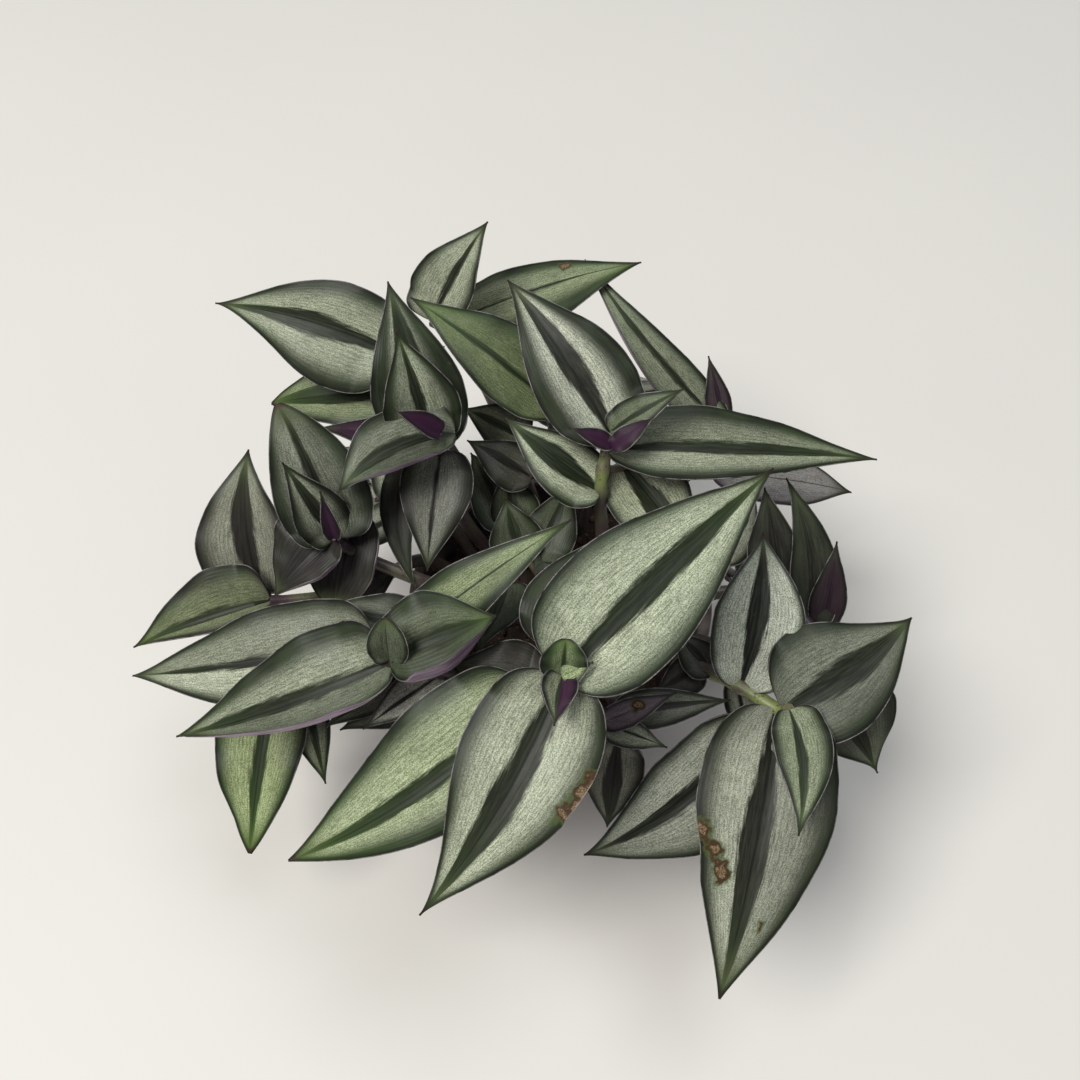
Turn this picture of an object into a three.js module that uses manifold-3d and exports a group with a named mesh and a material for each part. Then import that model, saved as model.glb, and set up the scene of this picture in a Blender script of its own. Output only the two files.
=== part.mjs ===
import * as THREE from "three";
import { mergeVertices } from "three/addons/utils/BufferGeometryUtils.js";
import Module from "manifold-3d";

// A trailing plant with silver-striped leaves in a plain nursery pot.
// Millimetres, +Z up, origin at the centre of the pot's underside, the plant seen from -Y.

// Pot: thin moulded wall with a hemmed rim and drain holes
const POT_HEIGHT = 76;
const POT_TOP_RADIUS = 43;
const POT_BASE_RADIUS = 31;
const POT_WALL = 1.6;
const POT_FLOOR = 2;
const RIM_HEIGHT = 7;
const RIM_OUT = 2;
const EDGE = 0.8;
const ROUND_SEGMENTS = 28;
const DRAIN_HOLES = 6;
const DRAIN_RADIUS = 3.5;
const DRAIN_CIRCLE = 20;
const DRAIN_SEGMENTS = 10;

// Potting mix: fills the pot to a little below the rim
const SOIL_LEVEL = 67;
const SOIL_RELIEF = 1.2;
const SOIL_WAVE = 0.3;
const SOIL_RINGS = 4;
const SOIL_GAP = 0.3;
const HOLE_DEPTH = 14;
const HOLE_CLEARANCE = 0.6;
const HOLE_SIDES = 7;

// Stems: succulent, slightly thinner towards the tip, upright in their holes
const STEM_ROOT_RADIUS = 2.2;
const STEM_TIP_RADIUS = 1.4;
const STEM_SIDES = 5;
const STEM_PIECES = 7;
const STEM_COLLAR = 3;
const STALK_RADIUS = 1.1;
const STALK_SIDES = 4;
const STALK_SHARE = 0.05;
const STALK_FROM = 5;

// Blades: rounded base, widest at a third, drawn out to a point, folded and arched a little
const BLADE_THICKNESS = 0.8;
const WIDEST_AT = 0.32;
const BASE_ROUNDING = 2.8;
const TIP_CURVE = 1.6;
const TAPER = 1.4;
const ARCH = 0.06;
const FOLD = 0.12;
const BLADE_STATIONS = [0, 0.06, 0.18, 0.36, 0.58, 0.8, 1];
const BUD_STATIONS = [0, 0.1, 0.3, 0.65, 1];
const BUD_LENGTH = 26;
const BASE_HALF_WIDTH = 1.2;
const TIP_HALF_WIDTH = 0.5;
const FACING = new THREE.Vector3(0, -0.28, 0.96);
const SAME_PLACE = 1e-4;

// Unseen stems: blades spread wide at the foot of the stem and close to its line at the tip
const SPRAY_FIRST = 0.5;
const SPRAY_SPREAD = 65;
const SPRAY_TIP_SPREAD = 15;
const SPRAY_VARY = 8;
const SPRAY_RISE = -0.25;
const SPRAY_FALL = -0.6;
const SPRAY_WIDTH = 0.21;
const SPRAY_TIP_LENGTH = 0.75;
const SPRAY_LENGTH_VARY = 0.07;
const SPRAY_SLOPE_VARY = 0.1;
const SPRAY_LEAN = 0.43;
const SPRAY_ARCH = 0.09;

// Where the photograph was taken from, for places read in its 1080 x 1080 frame
const EYE = new THREE.Vector3(-6, -156, 346);
const PITCH = THREE.MathUtils.degToRad(57);
const FOCAL = 1050;
const FRAME_CENTRE = 540;

// Leafy stems that the photograph shows. root is x, y in the soil; every other place is
// [photo x, photo y, height]; a leaf runs from at to tip
const SHOOTS = [
  {
    "name": "shoot_front",
    "root": [0, -14],
    "stem": [[-1, -28, 92], [-4, -41, 109], [-1, -50, 124], [-1, -53, 131]],
    "leaves": [
      { "id": "A5", "at": [528, 698, 102], "tip": [563, 817, 92], "wide": [7, 8] },
      {
        "id": "O1", "at": [535, 694, 108], "tip": [285, 862, 75], "wide": [13.5, 18],
        "bow": 0.06, "taper": 1.2
      },
      { "id": "P1", "at": [556, 652, 112], "tip": [607, 531, 118], "wide": [13, 11] },
      {
        "id": "A2", "at": [556, 668, 126], "tip": [417, 918, 95], "wide": [16, 15.5],
        "bow": 0.05, "taper": 1.6
      },
      {
        "id": "A1", "at": [567, 679, 127], "tip": [776, 466, 135], "wide": [18, 15],
        "peak": 0.28, "taper": 1.45
      },
      { "id": "O2", "at": [536, 690, 98], "tip": [448, 664, 101], "wide": [11, 11] },
      {
        "id": "A3", "at": [556, 684, 129], "tip": [566, 638, 137], "wide": [5.5, 5.5],
        "fold": 0.3, "peak": 0.45, "taper": 0.6
      },
      { "id": "A6", "at": [564, 676, 131], "tip": [594, 662, 134], "wide": [3, 3] },
      { "id": "A4", "at": [560, 682, 130], "tip": [554, 727, 131], "wide": [4, 4.5], "fold": 0.5 }
    ]
  },
  {
    "name": "shoot_right_front",
    "root": [24, -18],
    "stem": [[32, -23, 80], [38, -28, 85], [48, -35, 87], [57, -42, 88], [59, -44, 92]],
    "leaves": [
      {
        "id": "B4", "at": [752, 722, 84], "tip": [581, 856, 56], "wide": [16, 12],
        "fold": 0.14, "bow": 0.06, "roll": -12, "peak": 0.42
      },
      {
        "id": "B5", "at": [742, 682, 88], "tip": [763, 530, 110], "wide": [11.5, 13],
        "bow": -0.03, "peak": 0.45
      },
      {
        "id": "B2", "at": [778, 708, 87], "tip": [718, 1003, 52], "wide": [18.5, 17.5],
        "bow": 0.01, "taper": 1.25
      },
      { "id": "B1", "at": [785, 714, 88], "tip": [913, 616, 98], "wide": [17.6, 14], "bow": -0.05 },
      { "id": "B3", "at": [784, 715, 92], "tip": [798, 838, 88], "wide": [8.6, 6.8], "bow": 0.055 },
      { "id": "U1", "at": [718, 670, 85], "tip": [672, 630, 86], "wide": [6, 5] },
      { "id": "U2", "at": [704, 668, 83], "tip": [655, 692, 80], "wide": [6, 5] }
    ]
  },
  {
    "name": "shoot_right",
    "root": [14, 6],
    "stem": [[12, 12, 92], [11, 16, 104], [12, 22, 113], [14, 26, 118]],
    "leaves": [
      { "id": "Q", "at": [620, 462, 104], "tip": [705, 575, 88], "wide": [12, 12] },
      { "id": "C3", "at": [596, 496, 107], "tip": [504, 417, 118], "wide": [10, 9], "bow": 0.03 },
      { "id": "C2", "at": [607, 450, 117], "tip": [880, 460, 100], "wide": [12.5, 9.5], "bow": -0.01 },
      { "id": "C1", "at": [612, 428, 120], "tip": [506, 278, 140], "wide": [13.5, 15.5] },
      { "id": "C4", "at": [611, 432, 123], "tip": [686, 388, 135], "wide": [5.5, 4.5] },
      { "id": "C5", "at": [612, 446, 123], "tip": [568, 428, 128], "wide": [2.6, 3] },
      { "id": "C6", "at": [612, 448, 123], "tip": [656, 416, 130], "wide": [3, 3.2] }
    ]
  },
  {
    "name": "shoot_left_back",
    "root": [-16, 12],
    "stem": [[-28, 16, 92], [-32, 25, 106], [-34, 25, 114], [-36, 24, 121]],
    "leaves": [
      { "id": "D8", "at": [430, 444, 111], "tip": [316, 428, 107], "wide": [5.5, 5.5] },
      { "id": "D7", "at": [405, 466, 105], "tip": [417, 592, 90], "wide": [4.5, 5.5], "bow": -0.08 },
      { "id": "D6", "at": [434, 442, 113], "tip": [427, 573, 94], "wide": [10.5, 10] },
      { "id": "D5", "at": [447, 442, 116], "tip": [444, 345, 124], "wide": [7, 7.5] },
      {
        "id": "D3", "at": [455, 434, 125], "tip": [337, 494, 121], "wide": [7, 10.5],
        "bow": -0.09, "peak": 0.5, "fold": 0.2
      },
      { "id": "D1", "at": [437, 440, 118], "tip": [387, 279, 150], "wide": [13.5, 12] },
      { "id": "D2", "at": [426, 422, 122], "tip": [396, 329, 150], "wide": [10.5, 10.5] },
      {
        "id": "D4", "at": [440, 434, 129], "tip": [392, 410, 138], "wide": [3, 3.5],
        "fold": 0.5
      }
    ]
  },
  {
    "name": "shoot_left",
    "root": [-24, 2],
    "stem": [[-38, -3, 88], [-52, 0, 94], [-60, 1, 101], [-62, 1, 106]],
    "leaves": [
      {
        "id": "E4", "at": [358, 514, 104], "tip": [334, 611, 88], "wide": [9.5, 11],
        "peak": 0.55, "taper": 0.8
      },
      { "id": "E3", "at": [346, 524, 108], "tip": [274, 597, 95], "wide": [7.5, 14] },
      {
        "id": "E1", "at": [332, 537, 105], "tip": [276, 402, 135], "wide": [12.5, 13],
        "taper": 0.8, "bow": -0.03
      },
      { "id": "E2", "at": [330, 535, 110], "tip": [281, 461, 132], "wide": [7.5, 7.5] },
      {
        "id": "E6", "at": [334, 539, 111], "tip": [320, 490, 126], "wide": [2.2, 2.6],
        "fold": 0.4
      }
    ]
  },
  {
    "name": "shoot_far_left",
    "root": [-31, 11],
    "stem": [[-41, 7, 84], [-52, 2, 83], [-66, -2, 80], [-84, -5, 81]],
    "leaves": [
      { "id": "E5", "at": [345, 600, 78], "tip": [403, 567, 88], "wide": [8, 10] },
      {
        "id": "F1", "at": [263, 594, 77], "tip": [249, 447, 108], "wide": [15, 12],
        "bow": 0.05, "peak": 0.38
      },
      { "id": "F2", "at": [268, 602, 84], "tip": [132, 648, 70], "wide": [5, 13], "fold": 0.4 }
    ]
  },
  {
    "name": "shoot_left_front",
    "root": [-18, -20],
    "stem": [[-30, -33, 92], [-40, -37, 103], [-44, -37, 107]],
    "leaves": [
      { "id": "S2", "at": [437, 672, 86], "tip": [339, 731, 76], "wide": [10, 5] },
      { "id": "S3", "at": [450, 665, 95], "tip": [362, 730, 84], "wide": [6, 6] },
      { "id": "S1", "at": [405, 672, 92], "tip": [325, 728, 80], "wide": [6, 6] },
      { "id": "G2", "at": [375, 642, 95], "tip": [130, 676, 72], "wide": [14, 15], "bow": 0.03 },
      { "id": "G5", "at": [387, 675, 107], "tip": [498, 615, 112], "wide": [13, 10], "peak": 0.45 },
      {
        "id": "G1", "at": [398, 648, 106], "tip": [174, 737, 80], "wide": [8, 16],
        "bow": 0.04, "peak": 0.28
      },
      {
        "id": "G6", "at": [396, 664, 110], "tip": [385, 617, 120], "wide": [5, 5.5],
        "fold": 0.35, "peak": 0.5, "taper": 0.6
      }
    ]
  },
  {
    "name": "shoot_left_low",
    "root": [-28, -8],
    "stem": [[-46, -12, 83], [-66, -19, 77], [-84, -22, 65]],
    "leaves": [
      { "id": "G4", "at": [309, 695, 62], "tip": [326, 785, 50], "wide": [5, 7] },
      { "id": "G3", "at": [269, 678, 63], "tip": [250, 856, 40], "wide": [12.5, 14], "taper": 0.95 }
    ]
  },
  {
    "name": "shoot_middle",
    "root": [-10, -4],
    "stem": [[-24, -16, 84], [-34, -24, 92], [-43, -26, 96]],
    "leaves": [
      { "id": "H2", "at": [428, 632, 90], "tip": [318, 606, 92], "wide": [8, 8] },
      { "id": "H", "at": [398, 640, 95], "tip": [576, 517, 125], "wide": [8.5, 8.5] }
    ]
  },
  {
    "name": "shoot_inner",
    "root": [10, -16],
    "stem": [[13, -32, 80], [14, -42, 86], [10, -48, 93]],
    "leaves": [
      { "id": "T4", "at": [618, 740, 80], "tip": [607, 828, 60], "wide": [8, 9] },
      { "id": "T2", "at": [630, 712, 86], "tip": [732, 700, 84], "wide": [5, 6] },
      { "id": "T3", "at": [594, 738, 90], "tip": [668, 748, 86], "wide": [4, 4.5] },
      { "id": "T1", "at": [602, 722, 95], "tip": [678, 692, 98], "wide": [3.5, 4] }
    ]
  },
  {
    "name": "shoot_core",
    "root": [-8, 10],
    "stem": [[-11, 12, 82], [-13, 17, 86]],
    "leaves": [
      { "id": "R1", "at": [520, 556, 85], "tip": [505, 497, 97], "wide": [8, 8] },
      { "id": "R2", "at": [512, 530, 84], "tip": [470, 452, 92], "wide": [9, 9] },
      { "id": "R4", "at": [516, 522, 86], "tip": [505, 466, 96], "wide": [7, 8] },
      { "id": "R3", "at": [540, 560, 84], "tip": [572, 480, 94], "wide": [8, 8] },
      { "id": "R5", "at": [535, 575, 82], "tip": [600, 572, 80], "wide": [8, 7] },
      { "id": "R6", "at": [508, 585, 84], "tip": [478, 652, 92], "wide": [8, 8] }
    ]
  },
  {
    "name": "shoot_back_left",
    "root": [-16, 24],
    "stem": [[-34, 42, 94], [-46, 58, 104], [-49, 65, 110]],
    "leaves": [
      { "id": "I2", "at": [402, 396, 98], "tip": [270, 404, 88], "wide": [11, 14], "taper": 1 },
      {
        "id": "I1", "at": [400, 355, 110], "tip": [213, 303, 115], "wide": [17.5, 14.5],
        "bow": -0.045, "roll": -25, "taper": 1.6
      }
    ]
  },
  {
    "name": "shoot_back",
    "root": [2, 22],
    "stem": [[1, 32, 94], [-2, 40, 105], [-1, 43, 110]],
    "leaves": [
      { "id": "J4", "at": [532, 478, 97], "tip": [466, 440, 104], "wide": [8, 7] },
      { "id": "J3", "at": [525, 440, 98], "tip": [462, 408, 104], "wide": [8, 8] },
      { "id": "J2", "at": [558, 410, 110], "tip": [408, 296, 130], "wide": [11, 13] }
    ]
  },
  {
    "name": "shoot_far_back",
    "root": [-4, 26],
    "stem": [[-20, 56, 96], [-32, 77, 103], [-39, 77, 111]],
    "leaves": [
      { "id": "K1", "at": [462, 318, 104], "tip": [644, 262, 115], "wide": [9.5, 15] },
      { "id": "J1", "at": [430, 322, 112], "tip": [489, 220, 140], "wide": [12, 9.5] }
    ]
  },
  {
    "name": "shoot_back_right",
    "root": [20, 22],
    "stem": [[36, 34, 84], [46, 46, 83], [53, 60, 82]],
    "leaves": [
      { "id": "M1", "at": [711, 473, 80], "tip": [853, 493, 66], "wide": [9, 9], "peak": 0.5 },
      { "id": "L2", "at": [722, 425, 80], "tip": [708, 355, 98], "wide": [5, 4] },
      { "id": "L1", "at": [725, 425, 83], "tip": [583, 257, 115], "wide": [9, 7], "bow": 0.05 }
    ]
  },
  {
    "name": "shoot_right_low",
    "root": [31, -5],
    "stem": [[41, -5, 84], [54, -4, 84], [68, -6, 78], [76, -20, 75], [77, -34, 72]],
    "leaves": [
      { "id": "M4", "at": [779, 580, 80], "tip": [764, 486, 98], "wide": [9, 6.5] },
      { "id": "M2", "at": [808, 626, 72], "tip": [785, 476, 100], "wide": [7, 8], "bow": -0.07 },
      { "id": "M3", "at": [822, 625, 72], "tip": [837, 540, 92], "wide": [5.5, 5.5] },
      { "id": "N", "at": [831, 712, 72], "tip": [878, 774, 58], "wide": [16, 9], "taper": 2 }
    ]
  }
];

// Leafy stems that the photograph doesn't show, which fill the sides, the back and the foot of the
// mound. stem is in millimetres; reach is the length of the lowest leaf
const SPRAYS = [
  {
    "name": "spray_rear",
    "root": [6, 29],
    "stem": [[9, 44, 85], [13, 64, 84], [18, 84, 68]],
    "leaves": 6,
    "reach": 46,
    "seed": 11
  },
  {
    "name": "spray_rear_left",
    "root": [-26, 16],
    "stem": [[-36, 25, 81], [-54, 34, 76], [-70, 42, 56]],
    "leaves": 6,
    "reach": 46,
    "seed": 23
  },
  {
    "name": "spray_rear_right",
    "root": [29, 10],
    "stem": [[43, 10, 80], [56, 12, 63], [66, 18, 42]],
    "leaves": 5,
    "reach": 32,
    "seed": 37
  },
  {
    "name": "spray_front",
    "root": [-8, -29],
    "stem": [[-15, -40, 81], [-27, -49, 70], [-38, -54, 50]],
    "leaves": 4,
    "reach": 26,
    "seed": 53
  },
  {
    "name": "spray_right",
    "root": [30, -14],
    "stem": [[42, -19, 81], [53, -27, 64], [60, -36, 42]],
    "leaves": 4,
    "reach": 28,
    "seed": 67
  }
];

const wasm = await Module();
wasm.setup();

const potMaterial = new THREE.MeshStandardMaterial({ color: 0x6e625c, roughness: 0.6, metalness: 0 });
const soilMaterial = new THREE.MeshStandardMaterial({ color: 0x2c211a, roughness: 0.95, metalness: 0 });
const leafMaterial = new THREE.MeshStandardMaterial({ color: 0x5c7358, roughness: 0.45, metalness: 0 });

// A closed solid from vertex and triangle lists
function solid(vertices, triangles) {
  const mesh = new wasm.Mesh({
    numProp: 3,
    vertProperties: new Float32Array(vertices),
    triVerts: new Uint32Array(triangles)
  });
  return new wasm.Manifold(mesh);
}

// The same from one of the library's shapes
function solidOf(geometry) {
  const bare = geometry.clone();
  bare.deleteAttribute("normal");
  bare.deleteAttribute("uv");
  const merged = mergeVertices(bare, SAME_PLACE);
  const triangles = [];
  const index = merged.index.array;
  for (let i = 0; i < index.length; i += 3) {
    const corners = [index[i], index[i + 1], index[i + 2]];
    if (new Set(corners).size === 3) triangles.push(...corners);
  }
  return solid(merged.attributes.position.array, triangles);
}

function meshOf(shape, name, material) {
  const data = shape.getMesh();
  const geometry = new THREE.BufferGeometry();
  geometry.setAttribute("position", new THREE.BufferAttribute(new Float32Array(data.vertProperties), 3));
  geometry.setIndex(new THREE.BufferAttribute(new Uint32Array(data.triVerts), 1));
  geometry.computeVertexNormals();
  const mesh = new THREE.Mesh(geometry, material.clone());
  mesh.name = name;
  return mesh;
}

// The place at a given height that the photograph shows at a given pixel
function seen([px, py, height]) {
  const forward = new THREE.Vector3(0, Math.cos(PITCH), -Math.sin(PITCH));
  const up = new THREE.Vector3(0, Math.sin(PITCH), Math.cos(PITCH));
  const ray = forward.multiplyScalar(FOCAL).addScaledVector(up, FRAME_CENTRE - py);
  ray.x += px - FRAME_CENTRE;
  return EYE.clone().addScaledVector(ray, (height - EYE.z) / ray.z);
}

// Half the width of a blade, as a share of its widest half, at t from base 0 to tip 1
function fullness(t, widest, taper) {
  if (t < widest) return (1 - ((widest - t) / widest) ** BASE_ROUNDING) ** (1 / BASE_ROUNDING);
  return (1 - ((t - widest) / (1 - widest)) ** TIP_CURVE) ** taper;
}

// One blade: two halves folded along the midrib, arched from base to tip
function blade(leaf) {
  const chord = leaf.to.clone().sub(leaf.from);
  const length = chord.length();
  const along = chord.clone().divideScalar(length);
  const above = leaf.face.clone().addScaledVector(along, -leaf.face.dot(along)).normalize();
  above.applyAxisAngle(along, THREE.MathUtils.degToRad(leaf.roll ?? 0));
  const left = new THREE.Vector3().crossVectors(above, along);
  const crown = leaf.from.clone().add(leaf.to).divideScalar(2);
  crown.addScaledVector(above, 2 * (leaf.arch ?? ARCH) * length);
  crown.addScaledVector(left, 2 * (leaf.bow ?? 0) * length);
  const midrib = new THREE.QuadraticBezierCurve3(leaf.from, crown, leaf.to);
  const stations = length < BUD_LENGTH ? BUD_STATIONS : BLADE_STATIONS;
  const vertices = [];
  for (const t of stations) {
    const centre = midrib.getPoint(t);
    const ahead = midrib.getTangent(t);
    const side = new THREE.Vector3().crossVectors(above, ahead).normalize();
    const normal = new THREE.Vector3().crossVectors(ahead, side);
    const share = fullness(t, leaf.peak ?? WIDEST_AT, leaf.taper ?? TAPER);
    const least = t > 0.5 ? TIP_HALF_WIDTH : BASE_HALF_WIDTH;
    for (const [across, widest] of [[1, leaf.wide[0]], [0, 0], [-1, leaf.wide[1]]]) {
      const half = across === 0 ? 0 : Math.max(widest * share, least);
      const place = centre.clone().addScaledVector(side, half * across);
      place.addScaledVector(normal, half * (leaf.fold ?? FOLD));
      const top = place.clone().addScaledVector(normal, BLADE_THICKNESS / 2);
      const under = place.clone().addScaledVector(normal, -BLADE_THICKNESS / 2);
      vertices.push(...top.toArray(), ...under.toArray());
    }
  }
  return solid(vertices, bladeTriangles(stations.length - 1));
}

// Both faces of a blade split alike, closed by a rim all round
function bladeTriangles(last) {
  const triangles = [];
  const top = (i, j) => (i * 3 + j) * 2;
  const under = (i, j) => top(i, j) + 1;
  const wall = (p, q) => {
    triangles.push(top(...p), top(...q), under(...q));
    triangles.push(top(...p), under(...q), under(...p));
  };
  for (let i = 0; i < last; i++) {
    for (const j of [0, 1]) {
      const corners = [[i, j], [i, j + 1], [i + 1, j + 1], [i + 1, j]];
      const [a, b, c, d] = corners.map((corner) => top(...corner));
      triangles.push(a, b, c, a, c, d, a + 1, c + 1, b + 1, a + 1, d + 1, c + 1);
    }
    wall([i, 0], [i + 1, 0]);
    wall([i + 1, 2], [i, 2]);
  }
  for (const j of [0, 1]) {
    wall([0, j + 1], [0, j]);
    wall([last, j], [last, j + 1]);
  }
  return triangles;
}

// A round rod through a row of points, its radius given at each
function rod(points, radii, sides) {
  const vertices = [];
  const triangles = [];
  let across = new THREE.Vector3(1, 0, 0);
  points.forEach((point, i) => {
    const before = points[Math.max(i - 1, 0)];
    const after = points[Math.min(i + 1, points.length - 1)];
    const ahead = after.clone().sub(before).normalize();
    across = across.clone().addScaledVector(ahead, -across.dot(ahead)).normalize();
    const beside = new THREE.Vector3().crossVectors(ahead, across);
    for (let k = 0; k < sides; k++) {
      const turn = 2 * Math.PI * k / sides;
      const place = point.clone().addScaledVector(across, radii[i] * Math.cos(turn));
      vertices.push(...place.addScaledVector(beside, radii[i] * Math.sin(turn)).toArray());
    }
  });
  const last = (points.length - 1) * sides;
  for (let k = 0; k < sides; k++) {
    const next = (k + 1) % sides;
    for (let i = 0; i < last; i += sides) {
      triangles.push(i + k, i + next, i + sides + next, i + k, i + sides + next, i + sides + k);
    }
    if (k > 0 && next > 0) triangles.push(0, next, k, last, last + k, last + next);
  }
  return solid(vertices, triangles);
}

// The line of a stem: straight up out of its hole, then a smooth curve through its places
function stemLine(shoot) {
  const [x, y] = shoot.root;
  const foot = new THREE.Vector3(x, y, SOIL_LEVEL - HOLE_DEPTH + SOIL_GAP);
  const collar = new THREE.Vector3(x, y, SOIL_LEVEL + STEM_COLLAR);
  const places = [collar, ...shoot.stem.map((place) => new THREE.Vector3(...place))];
  const curve = new THREE.CatmullRomCurve3(places, false, "catmullrom");
  return [foot, ...curve.getPoints(STEM_PIECES)];
}

// A leafy stem: its rod, with each blade clasping it, or on a short stalk where the blade sits off it
function leafyStem(shoot) {
  const line = stemLine(shoot);
  const thinner = (STEM_ROOT_RADIUS - STEM_TIP_RADIUS) / (line.length - 1);
  let plant = rod(line, line.map((_, i) => STEM_ROOT_RADIUS - thinner * i), STEM_SIDES);
  for (const leaf of shoot.blades) {
    const near = nearestOn(line, leaf.from);
    if (near.distanceTo(leaf.from) < STALK_FROM) {
      plant = plant.add(blade({ ...leaf, from: near }));
    } else {
      const inside = leaf.from.clone().lerp(leaf.to, STALK_SHARE);
      plant = plant.add(blade(leaf)).add(rod([near, inside], [STALK_RADIUS, STALK_RADIUS], STALK_SIDES));
    }
  }
  return outerSkin(plant);
}

// The place on a line of points that lies nearest to a given place
function nearestOn(line, place) {
  let nearest = line[0];
  for (let i = 1; i < line.length; i++) {
    const piece = new THREE.Line3(line[i - 1], line[i]);
    const there = piece.closestPointToPoint(place, true, new THREE.Vector3());
    if (there.distanceTo(place) < nearest.distanceTo(place)) nearest = there;
  }
  return nearest;
}

// The outermost skin of a fused shape: hollows that fusing sealed are filled
function outerSkin(shape) {
  return shape.decompose().reduce((a, b) => (a.volume() > b.volume() ? a : b));
}

// Blades read from the photograph
function shownBlades(shoot) {
  return shoot.leaves.map((leaf) => {
    return { ...leaf, from: seen(leaf.at), to: seen(leaf.tip), face: FACING };
  });
}

// Seeded draw, from -1 to 1
function drawer(seed) {
  let state = seed;
  return () => {
    state = (state * 16807) % 2147483647;
    return 2 * state / 2147483647 - 1;
  };
}

// Blades of an unseen stem: in two ranks along it, shorter and closer to its line towards the tip
function sprayBlades(spray) {
  const draw = drawer(spray.seed);
  const line = stemLine(spray);
  const blades = [];
  for (let i = 0; i < spray.leaves; i++) {
    const share = i / (spray.leaves - 1);
    const at = Math.round(THREE.MathUtils.lerp(SPRAY_FIRST, 1, share) * (line.length - 1));
    const heading = line[at].clone().sub(line[at - 1]).setZ(0).normalize();
    const side = i % 2 === 0 ? 1 : -1;
    const spread = THREE.MathUtils.lerp(SPRAY_SPREAD, SPRAY_TIP_SPREAD, share) + SPRAY_VARY * draw();
    heading.applyAxisAngle(new THREE.Vector3(0, 0, 1), THREE.MathUtils.degToRad(side * spread));
    heading.z = THREE.MathUtils.lerp(SPRAY_RISE, SPRAY_FALL, share) + SPRAY_SLOPE_VARY * draw();
    const shorter = THREE.MathUtils.lerp(1, SPRAY_TIP_LENGTH, share);
    const reach = spray.reach * shorter * (1 + SPRAY_LENGTH_VARY * draw());
    const face = new THREE.Vector3(line[at].x, line[at].y, 0).setLength(SPRAY_LEAN).setZ(1);
    blades.push({
      from: line[at].clone(),
      to: line[at].clone().addScaledVector(heading.normalize(), reach),
      wide: [reach * SPRAY_WIDTH, reach * SPRAY_WIDTH],
      arch: SPRAY_ARCH,
      face
    });
  }
  return blades;
}

// Radius of the tapered pot's outside at a height
function potRadius(z) {
  return THREE.MathUtils.lerp(POT_BASE_RADIUS, POT_TOP_RADIUS, z / POT_HEIGHT);
}

// Pot: one turned wall with a hemmed rim, then the drain holes
function pot() {
  const hem = POT_TOP_RADIUS + RIM_OUT;
  const profile = [
    [0, 0], [POT_BASE_RADIUS - EDGE, 0], [potRadius(EDGE), EDGE],
    [potRadius(POT_HEIGHT - RIM_HEIGHT), POT_HEIGHT - RIM_HEIGHT],
    [hem - EDGE, POT_HEIGHT - RIM_HEIGHT], [hem, POT_HEIGHT - RIM_HEIGHT + EDGE],
    [hem, POT_HEIGHT - EDGE], [hem - EDGE, POT_HEIGHT],
    [POT_TOP_RADIUS - POT_WALL, POT_HEIGHT], [potRadius(POT_FLOOR) - POT_WALL, POT_FLOOR], [0, POT_FLOOR]
  ].map(([radius, z]) => new THREE.Vector2(radius, z));
  let shape = solidOf(new THREE.LatheGeometry(profile, ROUND_SEGMENTS).rotateX(Math.PI / 2));
  for (let i = 0; i < DRAIN_HOLES; i++) {
    const drill = new THREE.CylinderGeometry(DRAIN_RADIUS, DRAIN_RADIUS, 4 * POT_FLOOR, DRAIN_SEGMENTS);
    drill.rotateX(Math.PI / 2).translate(DRAIN_CIRCLE, 0, 0).rotateZ(2 * Math.PI * i / DRAIN_HOLES);
    shape = shape.subtract(solidOf(drill));
  }
  return shape;
}

// Potting mix: fills the pot, with an uneven top and a plain hole for each stem
function soil(roots) {
  const wall = (z) => potRadius(z) - POT_WALL - 2 * SOIL_GAP;
  const floor = POT_FLOOR + SOIL_GAP;
  const profile = [new THREE.Vector2(0, floor), new THREE.Vector2(wall(floor), floor)];
  for (let ring = SOIL_RINGS; ring >= 0; ring--) {
    profile.push(new THREE.Vector2(wall(SOIL_LEVEL) * ring / SOIL_RINGS, SOIL_LEVEL));
  }
  const geometry = new THREE.LatheGeometry(profile, ROUND_SEGMENTS).rotateX(Math.PI / 2);
  const place = geometry.attributes.position;
  for (let i = 0; i < place.count; i++) {
    const [x, y, z] = [place.getX(i), place.getY(i), place.getZ(i)];
    if (z < SOIL_LEVEL - SOIL_GAP) continue;
    place.setZ(i, z + SOIL_RELIEF * Math.sin(SOIL_WAVE * x + 1) * Math.cos(SOIL_WAVE * y));
  }
  let shape = solidOf(geometry);
  const radius = STEM_ROOT_RADIUS + HOLE_CLEARANCE;
  for (const [x, y] of roots) {
    const drill = new THREE.CylinderGeometry(radius, radius, 2 * HOLE_DEPTH, HOLE_SIDES);
    shape = shape.subtract(solidOf(drill.rotateX(Math.PI / 2).translate(x, y, SOIL_LEVEL)));
  }
  return shape;
}

const stems = [
  ...SHOOTS.map((shoot) => ({ ...shoot, blades: shownBlades(shoot) })),
  ...SPRAYS.map((spray) => ({ ...spray, blades: sprayBlades(spray) }))
];

const plant = new THREE.Group();
plant.add(meshOf(pot(), "pot", potMaterial));
plant.add(meshOf(soil(stems.map((stem) => stem.root)), "soil", soilMaterial));
for (const stem of stems) {
  plant.add(meshOf(leafyStem(stem), stem.name, leafMaterial));
}

export default plant;
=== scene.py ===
import math
import random
import bpy
from mathutils import Matrix, Vector, noise


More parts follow.
